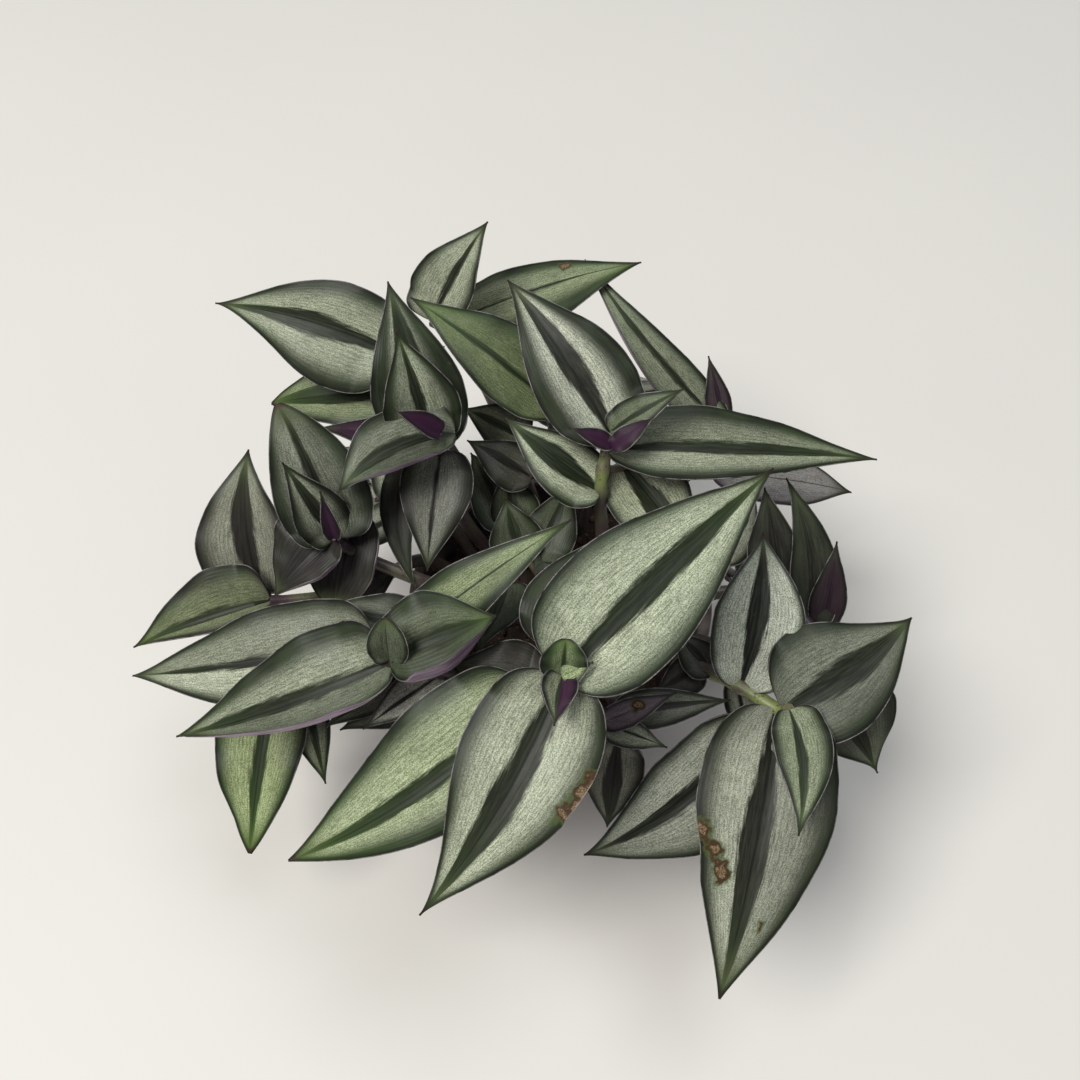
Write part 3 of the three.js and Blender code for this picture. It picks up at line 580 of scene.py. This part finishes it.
# The blade that every leaf is shaped from: a flat sheet ruled into strips
bpy.ops.mesh.primitive_grid_add(x_subdivisions=STRIPS_ACROSS, y_subdivisions=STRIPS_ALONG, size=1)
flat_blade = bpy.context.object
flat_blade.name = "flat_blade"
flat_blade.data.uv_layers[0].name = "blade"
flat_blade.data.uv_layers.new(name="grain")
for layer in ("margin", "inner", "outer", "silver", "green", "plum", "scar"):
    flat_blade.data.attributes.new(layer, "FLOAT", "POINT")
for finish in (leaf_face, leaf_back, leaf_rim):
    flat_blade.data.materials.append(finish.material)
flat_blade.vertex_groups.new(name="body")


def grown_blade(row, ripple):
    """A copy of the flat blade in its grown shape, with its markings, as thick as a leaf."""
    grown = flat_blade.copy()
    grown.data = flat_blade.data.copy()
    bpy.context.scene.collection.objects.link(grown)
    mesh = grown.data
    flat = [point.co.copy() for point in mesh.vertices]
    places, margins = blade_points(row, flat, ripple)
    length = (row["tip"] - row["base"]).length
    for loop in mesh.loops:
        spot = flat[loop.vertex_index]
        along = along_blade(spot)
        mesh.uv_layers["blade"].data[loop.index].uv = (spot.x + 0.5, along)
        grain = (spot.x * sum(row["wide"]), along * length / MM)
        mesh.uv_layers["grain"].data[loop.index].uv = (grain[0] + row["drift"], grain[1] + row["drift"])
    looks = {**LEAF_LOOK, **{layer: row[layer] for layer in LEAF_LOOK if layer in row}}
    scars = row.get("scars", [])
    for point, place, margin in zip(mesh.vertices, places, margins):
        here = flat[point.index]
        point.co = place
        mesh.attributes["margin"].data[point.index].value = margin
        for layer, value in looks.items():
            pair = value if isinstance(value, tuple) else (value, value)
            mesh.attributes[layer].data[point.index].value = pair[0 if here.x < 0 else 1]
        worn = 0.0
        for along, across, reach in scars:
            gap = (along_blade(here) - along) * length / MM, (here.x * 2 + across) * sum(row["wide"]) / 2
            worn = max(worn, 1 - math.hypot(*gap) / reach)
        mesh.attributes["scar"].data[point.index].value = worn
        thick = smooth_step(margin, 0, FULL_THICKNESS_FROM)
        grown.vertex_groups["body"].add([point.index], thick, "REPLACE")
    mesh.update()
    wall = grown.modifiers.new("thickness", "SOLIDIFY")
    wall.thickness = BLADE_THICKNESS
    wall.offset = 0
    wall.vertex_group = "body"
    wall.thickness_vertex_group = MARGIN_THICKNESS
    wall.material_offset = 1
    wall.material_offset_rim = 2
    bpy.context.view_layer.objects.active = grown
    bpy.ops.object.modifier_apply(modifier=wall.name)
    return grown


def fleshy_rod(points, radii):
    """A round rod through a row of points, closed at both ends."""
    curve = bpy.data.curves.new("rod", "CURVE")
    curve.dimensions = "3D"
    curve.bevel_depth = 1
    curve.bevel_resolution = 3
    curve.use_fill_caps = True
    line = curve.splines.new("POLY")
    line.points.add(len(points) - 1)
    for spot, point, radius in zip(line.points, points, radii):
        spot.co = (*point, 1)
        spot.radius = radius
    drawn = bpy.data.objects.new("rod", curve)
    bpy.context.scene.collection.objects.link(drawn)
    bpy.ops.object.select_all(action="DESELECT")
    drawn.select_set(True)
    bpy.context.view_layer.objects.active = drawn
    bpy.ops.object.convert(target="MESH")
    made = bpy.context.object
    made.data.materials.append(stem_skin.material)
    return made


def stem_line(root, stem, pieces):
    """Straight up out of its hole, then a smooth curve through its places; all in mm."""
    foot = Vector((*root, HOLE_FLOOR))
    places = [Vector((*root, STEM_COLLAR)), *[Vector(place) for place in stem]]
    ends = [places[0] * 2 - places[1], *places, places[-1] * 2 - places[-2]]
    line = [foot]
    for step in range(pieces + 1):
        run = step / pieces * (len(places) - 1)
        first = min(int(run), len(places) - 2)
        t = run - first
        before, a, b, after = ends[first:first + 4]
        leave, arrive = (b - before) / 2, (after - a) / 2
        line.append(
            a + leave * t + (3 * (b - a) - 2 * leave - arrive) * t ** 2
            + (2 * (a - b) + leave + arrive) * t ** 3)
    return [point * MM for point in line]


def nearest_on(line, place):
    nearest = line[0]
    for start, end in zip(line, line[1:]):
        run = end - start
        share = min(max((place - start).dot(run) / run.length_squared, 0), 1)
        there = start + run * share
        if (there - place).length < (nearest - place).length:
            nearest = there
    return nearest


def leafy_stem(name, node, root, stem, leaves, stem_plum_and_shade=0.7, stem_shade=1):
    """A stem with its leaves, in one piece: each blade clasps it, or stands on a short stalk."""
    line = stem_line(root, stem, STEM_PIECES)
    ripple = random.Random(node)
    parts = []
    joints = []
    for row in leaves:
        row["drift"] = ripple.uniform(0, 400)
        near = nearest_on(line, row["base"])
        joints.append(near)
        if (near - row["base"]).length < STALK_FROM:
            row["base"] = near
        else:
            inside = row["base"].lerp(row["tip"], STALK_SHARE)
            parts.append(fleshy_rod([near, near.lerp(inside, 0.5), inside], [STALK_RADIUS] * 3))
        parts.append(grown_blade(row, ripple))
    radii = []
    for step, point in enumerate(line):
        radius = STEM_ROOT_RADIUS - (STEM_ROOT_RADIUS - STEM_TIP_RADIUS) * step / (len(line) - 1)
        swell = max([1 - (point - joint).length / NODE_LENGTH for joint in joints] + [0])
        radii.append((radius + NODE_SWELL * smooth_step(swell, 0, 1)) * MM)
    parts.append(fleshy_rod(line, radii))
    for part in parts:
        if "plum" not in part.data.attributes:
            tint = part.data.attributes.new("plum", "FLOAT", "POINT")
            for point in part.data.vertices:
                nearby = min([(point.co - joint).length for joint in joints])
                at_joint = 1 - smooth_step(nearby, *NODE_TINT)
                # Plum deepens away from the tip: partly older stem colour, partly painted shade inside the
                # mound
                old = smooth_step((line[-1] - point.co).length, *STEM_DARKENS_FROM_TIP)
                shade = stem_plum_and_shade + (FOOT_PLUM_AND_SHADE - stem_plum_and_shade) * old * stem_shade
                tint.data[point.index].value = min(1, shade + 0.5 * stem_plum_and_shade * at_joint)
    bpy.ops.object.select_all(action="DESELECT")
    for part in parts:
        part.select_set(True)
    whole = parts[-1]
    bpy.context.view_layer.objects.active = whole
    bpy.ops.object.join()
    whole.name = name
    dressed(whole, node, 50)
    return whole


leafy_stem(
    "front_shoot", "shoot_front", root=(0, -14),
    stem=[(-1, -28, 92), (-4, -41, 109), (-1, -50, 124), (-1, -53, 131)],
    leaves=[
        leaf((528, 698, 102), (563, 817, 92), (7, 8), silver=0.3, plum=0.4),
        leaf(
            (535, 694, 108), (285, 862, 75), (13.5, 18), bow=0.06, taper=1.2,
            inner=0.17, outer=(0.72, 0.82), silver=(0.82, 0.95), green=0.7, plum=0,
            scars=[(0.985, 0, 4.6)]),
        leaf((556, 652, 112), (607, 531, 118), (13, 11), silver=0.08, plum=0.15, green=0.6),
        leaf(
            (556, 668, 126), (417, 918, 95), (16, 15.5), bow=0.05, taper=1.6,
            inner=0.26, outer=0.84, silver=1, green=0.35, plum=0.1,
            scars=[(0.27, 0.97, 4), (0.33, 0.98, 4.4), (0.39, 0.93, 4.8)],
            bites=[(0.34, 5, 0.7), (0.4, 3, 0.6)]),
        leaf(
            (567, 679, 127), (776, 466, 135), (18, 15), peak=0.28, taper=1.45,
            inner=0.22, outer=0.88, silver=1, green=0.35, plum=0),
        leaf((536, 690, 98), (448, 664, 101), (11, 11), silver=0.12, plum=0.3),
        leaf(
            (556, 684, 129), (566, 638, 137), (5.5, 5.5), fold=0.3, peak=0.45, taper=0.6,
            inner=0.1, outer=0.6, silver=0.35, green=0.9, plum=0),
        leaf((564, 676, 131), (594, 662, 134), (3, 3), inner=0, outer=1, silver=0.8, green=1, plum=0),
        leaf(
            (560, 682, 130), (554, 727, 131), (4, 4.5), fold=0.5,
            silver=(0.05, 0.5), plum=(1, 0.1), green=0.6),
    ])


# Right front shoot: it leans out over the rim on a pale olive stem, with the long hanging
# leaf that is worn brown at one edge, and the broad leaf that points away to the right.
leafy_stem(
    "right_front_shoot", "shoot_right_front", root=(24, -18), stem_plum_and_shade=0.05, stem_shade=0.3,
    stem=[(32, -23, 80), (38, -28, 85), (48, -35, 87), (57, -42, 88), (59, -44, 92)],
    leaves=[
        leaf(
            (752, 722, 84), (581, 856, 56), (16, 12), fold=0.14, bow=0.06, roll=-12, peak=0.42,
            inner=0.16, outer=0.88, silver=(0.75, 1.1), green=0.1),
        leaf(
            (742, 682, 88), (763, 530, 110), (11.5, 13), bow=-0.03, peak=0.45,
            inner=0.24, outer=0.94, silver=(1.3, 1.7), green=0, plum=0),
        leaf(
            (778, 708, 87), (718, 1003, 52), (18.5, 17.5), bow=0.01, taper=1.25,
            inner=(0.2, 0.26), outer=0.84, silver=(0.6, 0.95), green=0.25, plum=0.15,
            scars=[(0.57, -0.56, 5.4), (0.5, -0.72, 5.4), (0.44, -0.92, 4.6), (0.7, 0.53, 3)],
            bites=[(0.5, -9, 1)]),
        leaf(
            (785, 714, 88), (913, 616, 98), (17.6, 14), bow=-0.05,
            inner=0.27, outer=0.84, silver=(0.4, 0.26), green=0.15),
        leaf(
            (784, 715, 92), (798, 838, 88), (8.6, 6.8), bow=0.055,
            inner=0.2, outer=0.78, silver=0.6, green=0.6),
        leaf((718, 670, 85), (672, 630, 86), (6, 5), silver=0.15, plum=0.2),
        leaf((704, 668, 83), (655, 692, 80), (6, 5), silver=0.1, plum=0.3),
    ])


# Right shoot: it stands over the middle, with two long leaves either side of its purple
# growing tip and smaller ones round it.
leafy_stem(
    "right_shoot", "shoot_right", root=(14, 6), stem_plum_and_shade=0.1,
    stem=[(12, 12, 92), (11, 16, 104), (12, 22, 113), (14, 26, 118)],
    leaves=[
        leaf((620, 462, 104), (705, 575, 88), (12, 12), inner=0.34, outer=0.95, silver=1, green=0.5),
        leaf(
            (596, 496, 107), (504, 417, 118), (10, 9), bow=0.03,
            inner=0.36, outer=0.86, silver=0.95, green=0.35, plum=0),
        leaf(
            (607, 450, 117), (880, 460, 100), (12.5, 9.5), bow=-0.01,
            inner=0.2, outer=(0.72, 0.8), silver=(0.5, 0.75), green=0.4, scars=[(0.985, 0, 6)]),
        leaf(
            (612, 428, 120), (506, 278, 140), (13.5, 15.5),
            inner=(0.21, 0.28), outer=0.66, silver=(1, 1.15), green=0.15, plum=0.1),
        leaf((611, 432, 123), (686, 388, 135), (5.5, 4.5), silver=0.3, green=0.6),
        leaf((612, 446, 123), (568, 428, 128), (2.6, 3), silver=0, plum=1),
        leaf((612, 448, 123), (656, 416, 130), (3, 3.2), silver=0, plum=1),
    ])


# Left back shoot: an upright tip whose young leaves still stand round its purple bud, the
# lowest hanging into the middle of the plant.
leafy_stem(
    "left_back_shoot", "shoot_left_back", root=(-16, 12),
    stem=[(-28, 16, 92), (-32, 25, 106), (-34, 25, 114), (-36, 24, 121)],
    leaves=[
        leaf((430, 444, 111), (316, 428, 107), (5.5, 5.5), silver=0, plum=0.9),
        leaf((405, 466, 105), (417, 592, 90), (4.5, 5.5), bow=-0.08, silver=0.03, plum=0.2),
        leaf(
            (434, 442, 113), (427, 573, 94), (10.5, 10),
            inner=0.08, outer=0.75, silver=0.42, plum=0.2, green=0.1),
        leaf((447, 442, 116), (444, 345, 124), (7, 7.5), silver=0.45, green=0.5),
        leaf(
            (455, 434, 125), (337, 494, 121), (7, 10.5), bow=-0.09, peak=0.5, fold=0.2,
            inner=0.2, outer=0.78, silver=(0.18, 0.38), green=0.25, turned_up=(2, 0)),
        leaf(
            (437, 440, 118), (387, 279, 150), (13.5, 12),
            inner=0.3, outer=0.6, silver=(0.8, 0.35), green=0.2),
        leaf(
            (426, 422, 122), (396, 329, 150), (10.5, 10.5),
            inner=0.16, outer=0.72, silver=(0.6, 0.8), green=0.35),
        leaf((440, 434, 129), (392, 410, 138), (3, 3.5), fold=0.5, silver=0, plum=1),
    ])


# Left shoot: a young tip whose dark lower leaves have their margins rolled up, so the
# violet of the underside shows along them.
leafy_stem(
    "left_shoot", "shoot_left", root=(-24, 2),
    stem=[(-38, -3, 88), (-52, 0, 94), (-60, 1, 101), (-62, 1, 106)],
    leaves=[
        leaf(
            (358, 514, 104), (334, 611, 88), (9.5, 11), peak=0.55, taper=0.8,
            silver=0, plum=0.25, green=0.1, turned_up=(1.6, 0), scars=[(0.985, 0, 5)]),
        leaf(
            (346, 524, 108), (274, 597, 95), (7.5, 14),
            silver=0, plum=0.25, green=0.1, turned_up=(2.4, 0)),
        leaf(
            (332, 537, 105), (276, 402, 135), (12.5, 13), taper=0.8, bow=-0.03,
            inner=0.12, outer=0.78, silver=(0.55, 0.32), green=0.15),
        leaf(
            (330, 535, 110), (281, 461, 132), (7.5, 7.5),
            inner=0.25, outer=0.72, silver=0.7, green=0.3, plum=0.1),
        leaf((334, 539, 111), (320, 490, 126), (2.2, 2.6), fold=0.4, silver=0, plum=1),
    ])


# Far left shoot: it runs low over the rim, with one upright leaf and one greener leaf
# folded along its midrib.
leafy_stem(
    "far_left_shoot", "shoot_far_left", root=(-31, 11),
    stem=[(-41, 7, 84), (-52, 2, 83), (-66, -2, 80), (-84, -5, 81)],
    leaves=[
        leaf((345, 600, 78), (403, 567, 88), (8, 10), silver=0.02, plum=0.3),
        leaf(
            (263, 594, 77), (249, 447, 108), (15, 12), bow=0.05, peak=0.38,
            inner=(0.3, 0.2), outer=0.84, silver=0.7, green=0.5, plum=0.35),
        leaf(
            (268, 602, 84), (132, 648, 70), (5, 13), fold=0.4,
            inner=0.18, outer=0.8, silver=0.45, green=1, plum=0.2),
    ])


# Left front shoot: long leaves that lie over each other to the left, one short leaf with
# a turned-up violet margin, and small leaves beneath.
leafy_stem(
    "left_front_shoot", "shoot_left_front", root=(-18, -20),
    stem=[(-30, -33, 92), (-40, -37, 103), (-44, -37, 107)],
    leaves=[
        leaf((437, 672, 86), (339, 731, 76), (10, 5), silver=0.3, plum=0.2),
        leaf((450, 665, 95), (362, 730, 84), (6, 6), inner=0.1, outer=0.9, silver=1, green=0, plum=0.1),
        leaf((405, 672, 92), (325, 728, 80), (6, 6), silver=0.3),
        leaf(
            (375, 642, 95), (130, 676, 72), (14, 15), bow=0.03,
            inner=0.1, outer=0.84, silver=(1.15, 0.6), green=0.3, plum=0.1,
            scars=[(0.985, 0, 6)]),
        leaf(
            (387, 675, 107), (498, 615, 112), (13, 10), peak=0.45,
            inner=0.18, outer=0.74, silver=(0.28, 0.08), green=0.6, turned_up=(0, 8)),
        leaf(
            (398, 648, 106), (174, 737, 80), (8, 16), bow=0.04, peak=0.28,
            inner=(0.12, 0.22), outer=0.7, silver=(0.32, 0.7), green=0.35, turned_up=(4.4, 0),
            scars=[(0.985, 0, 5)]),
        leaf(
            (396, 664, 110), (385, 617, 120), (5, 5.5), fold=0.35, peak=0.5, taper=0.6,
            inner=0, outer=1, silver=0.2, plum=0, green=0.4),
    ])


# Low left shoot: it hangs over the rim, and its two leaves point down.
leafy_stem(
    "left_low_shoot", "shoot_left_low", root=(-28, -8),
    stem=[(-46, -12, 83), (-66, -19, 77), (-84, -22, 65)],
    leaves=[
        leaf((309, 695, 62), (326, 785, 50), (5, 7), silver=0.5, green=0.5),
        leaf(
            (269, 678, 63), (250, 856, 40), (12.5, 14), taper=0.95,
            inner=0.16, outer=0.84, silver=1, green=1, plum=0,
            bites=[(0.8, -9, 1)]),
    ])


# Middle shoot: short, with one narrow yellow-green leaf.
leafy_stem(
    "middle_shoot", "shoot_middle", root=(-10, -4),
    stem=[(-24, -16, 84), (-34, -24, 92), (-43, -26, 96)],
    leaves=[
        leaf((428, 632, 90), (318, 606, 92), (8, 8), silver=0.2),
        leaf(
            (398, 640, 95), (576, 517, 125), (8.5, 8.5),
            inner=0.03, outer=0.72, silver=(0.76, 0.52), green=0.85, plum=0),
    ])


# Inner front shoot: small leaves beneath the largest ones, one of them mauve and withered.
leafy_stem(
    "inner_shoot", "shoot_inner", root=(10, -16),
    stem=[(13, -32, 80), (14, -42, 86), (10, -48, 93)],
    leaves=[
        leaf((618, 740, 80), (607, 828, 60), (8, 9), inner=0.34, silver=0.55, plum=0.35, green=0.5),
        leaf((630, 712, 86), (732, 700, 84), (5, 6), silver=0.35, plum=0.2),
        leaf((594, 738, 90), (668, 748, 86), (4, 4.5), inner=0.1, outer=0.9, silver=0.6, green=0.3),
        leaf(
            (602, 722, 95), (678, 692, 98), (3.5, 4),
            inner=0, outer=1, silver=0.55, plum=0.8, green=0, scars=[(0.5, 0.3, 3.4)]),
    ])


# Core shoot: small shaded leaves that fill the middle. Their silver is kept low so they read dark:
# partly their own darker colour, partly painted shade deep in the mound.
leafy_stem(
    "core_shoot", "shoot_core", root=(-8, 10),
    stem=[(-11, 12, 82), (-13, 17, 86)],
    leaves=[
        leaf((520, 556, 85), (505, 497, 97), (8, 8), green=0.4, silver=0.15),
        leaf((512, 530, 84), (470, 452, 92), (9, 9), green=0.4, silver=0.15),
        leaf((516, 522, 86), (505, 466, 96), (7, 8), silver=0.2, green=0.7),
        leaf((540, 560, 84), (572, 480, 94), (8, 8), green=0.4, silver=0.15),
        leaf((535, 575, 82), (600, 572, 80), (8, 7), silver=0.1),
        leaf((508, 585, 84), (478, 652, 92), (8, 8), silver=0.1),
    ])


# Back left shoot: one broad silver leaf that points out to the left, and a greener, narrower
# one under it.
leafy_stem(
    "back_left_shoot", "shoot_back_left", root=(-16, 24),
    stem=[(-34, 42, 94), (-46, 58, 104), (-49, 65, 110)],
    leaves=[
        leaf(
            (402, 396, 98), (270, 404, 88), (11, 14), taper=1,
            inner=0.3, outer=0.85, silver=0.65, green=0.8),
        leaf(
            (400, 355, 110), (213, 303, 115), (17.5, 14.5), bow=-0.045, roll=-25, taper=1.6,
            inner=0.22, outer=0.8, silver=(0.8, 0.85), green=0.35),
    ])


# Back shoot: a leaf that has lost most of its silver, and two small ones below.
leafy_stem(
    "back_shoot", "shoot_back", root=(2, 22),
    stem=[(1, 32, 94), (-2, 40, 105), (-1, 43, 110)],
    leaves=[
        leaf((532, 478, 97), (466, 440, 104), (8, 7), silver=0.2, plum=0.2),
        leaf((525, 440, 98), (462, 408, 104), (8, 8), silver=0.35, green=0.6),
        leaf(
            (558, 410, 110), (408, 296, 130), (11, 13),
            inner=0.1, outer=(1, 0.8), silver=(0.38, 0.3), green=1, plum=0),
    ])


# Far back shoot: two leaves at the rear edge of the mound.
leafy_stem(
    "far_back_shoot", "shoot_far_back", root=(-4, 26),
    stem=[(-20, 56, 96), (-32, 77, 103), (-39, 77, 111)],
    leaves=[
        leaf(
            (462, 318, 104), (644, 262, 115), (9.5, 15),
            inner=0.04, outer=(0.7, 0.6), silver=0.62, green=0.75,
            scars=[(0.6, 0.62, 3.6)]),
        leaf(
            (430, 322, 112), (489, 220, 140), (12, 9.5),
            inner=0.13, outer=0.84, silver=0.85, green=0.35),
    ])


# Back right shoot: narrow leaves behind the plant, and a greyish violet one to the side.
leafy_stem(
    "back_right_shoot", "shoot_back_right", root=(20, 22),
    stem=[(36, 34, 84), (46, 46, 83), (53, 60, 82)],
    leaves=[
        leaf(
            (711, 473, 80), (853, 493, 66), (9, 9), peak=0.5,
            inner=0, outer=1, silver=1, plum=0.5, green=0),
        leaf((722, 425, 80), (708, 355, 98), (5, 4), silver=0.1, plum=0.6),
        leaf(
            (725, 425, 83), (583, 257, 115), (9, 7), bow=0.05,
            inner=0.14, outer=0.8, silver=0.48, green=0.45, turned_up=(1.6, 0)),
    ])


# Low right shoot: it bends round the right side, with purplish young leaves.
leafy_stem(
    "right_low_shoot", "shoot_right_low", root=(31, -5),
    stem=[(41, -5, 84), (54, -4, 84), (68, -6, 78), (76, -20, 75), (77, -34, 72)],
    leaves=[
        leaf(
            (779, 580, 80), (764, 486, 98), (9, 6.5),
            silver=0.03, plum=0.2, green=0.2, turned_up=(0, 1.6)),
        leaf((808, 626, 72), (785, 476, 100), (7, 8), bow=-0.07, silver=0.03, plum=0.15, green=0.3),
        leaf((822, 625, 72), (837, 540, 92), (5.5, 5.5), silver=0.02, plum=0.6),
        leaf((831, 712, 72), (878, 774, 58), (16, 9), taper=2, silver=0.25, plum=0.2, green=0.5),
    ])


# Hidden stems: five more of the same plant, round the back and the foot of the mound, where the
# camera doesn't see them. Their leaves stand in two ranks, closer to the stem towards its tip.
SPRAY_FIRST = 0.5
SPRAY_TURNS = (65, 15)
SPRAY_TURN_VARY = 8
SPRAY_SLOPES = (-0.25, -0.6)
SPRAY_SLOPE_VARY = 0.1
SPRAY_SHORTER = 0.25
SPRAY_LENGTH_VARY = 0.07
SPRAY_WIDTH = 0.21
SPRAY_ARCH = 0.09
SPRAY_LEAN = 0.43
SPRAY_LINE_PIECES = 7


def drawer(seed):
    """Seeded draw, from -1 to 1."""
    state = seed
    while True:
        state = state * 16807 % 2147483647
        yield 2 * state / 2147483647 - 1


def between(ends, share):
    return ends[0] + (ends[1] - ends[0]) * share


def spray_leaves(root, stem, count, reach, seed):
    """Leaves in two ranks along a hidden stem, each a little off the one before."""
    draw = drawer(seed)
    line = stem_line(root, stem, SPRAY_LINE_PIECES)
    rows = []
    for number in range(count):
        share = number / (count - 1)
        at = int(between((SPRAY_FIRST, 1), share) * (len(line) - 1) + 0.5)
        heading = line[at] - line[at - 1]
        heading.z = 0
        heading.normalize()
        turn = between(SPRAY_TURNS, share) + SPRAY_TURN_VARY * next(draw)
        heading = Matrix.Rotation(math.radians(turn if number % 2 == 0 else -turn), 3, "Z") @ heading
        heading.z = between(SPRAY_SLOPES, share) + SPRAY_SLOPE_VARY * next(draw)
        long = reach * (1 - SPRAY_SHORTER * share) * (1 + SPRAY_LENGTH_VARY * next(draw))
        outward = Vector((line[at].x, line[at].y, 0)).normalized() * SPRAY_LEAN
        rows.append({
            "base": line[at], "tip": line[at] + heading.normalized() * long * MM,
            "wide": (SPRAY_WIDTH * long, SPRAY_WIDTH * long), "arch": SPRAY_ARCH,
            "face": Vector((outward.x, outward.y, 1))})
    return rows


for side, root, stem, count, reach, seed in (
        ("rear", (6, 29), [(9, 44, 85), (13, 64, 84), (18, 84, 68)], 6, 46, 11),
        ("rear_left", (-26, 16), [(-36, 25, 81), (-54, 34, 76), (-70, 42, 56)], 6, 46, 23),
        ("rear_right", (29, 10), [(43, 10, 80), (56, 12, 63), (66, 18, 42)], 5, 32, 37),
        ("front", (-8, -29), [(-15, -40, 81), (-27, -49, 70), (-38, -54, 50)], 4, 26, 53),
        ("right", (30, -14), [(42, -19, 81), (53, -27, 64), (60, -36, 42)], 4, 28, 67)):
    leafy_stem(
        side + "_hidden_shoot", "spray_" + side, root=root, stem=stem,
        leaves=spray_leaves(root, stem, count, reach, seed))

bpy.data.objects.remove(flat_blade)
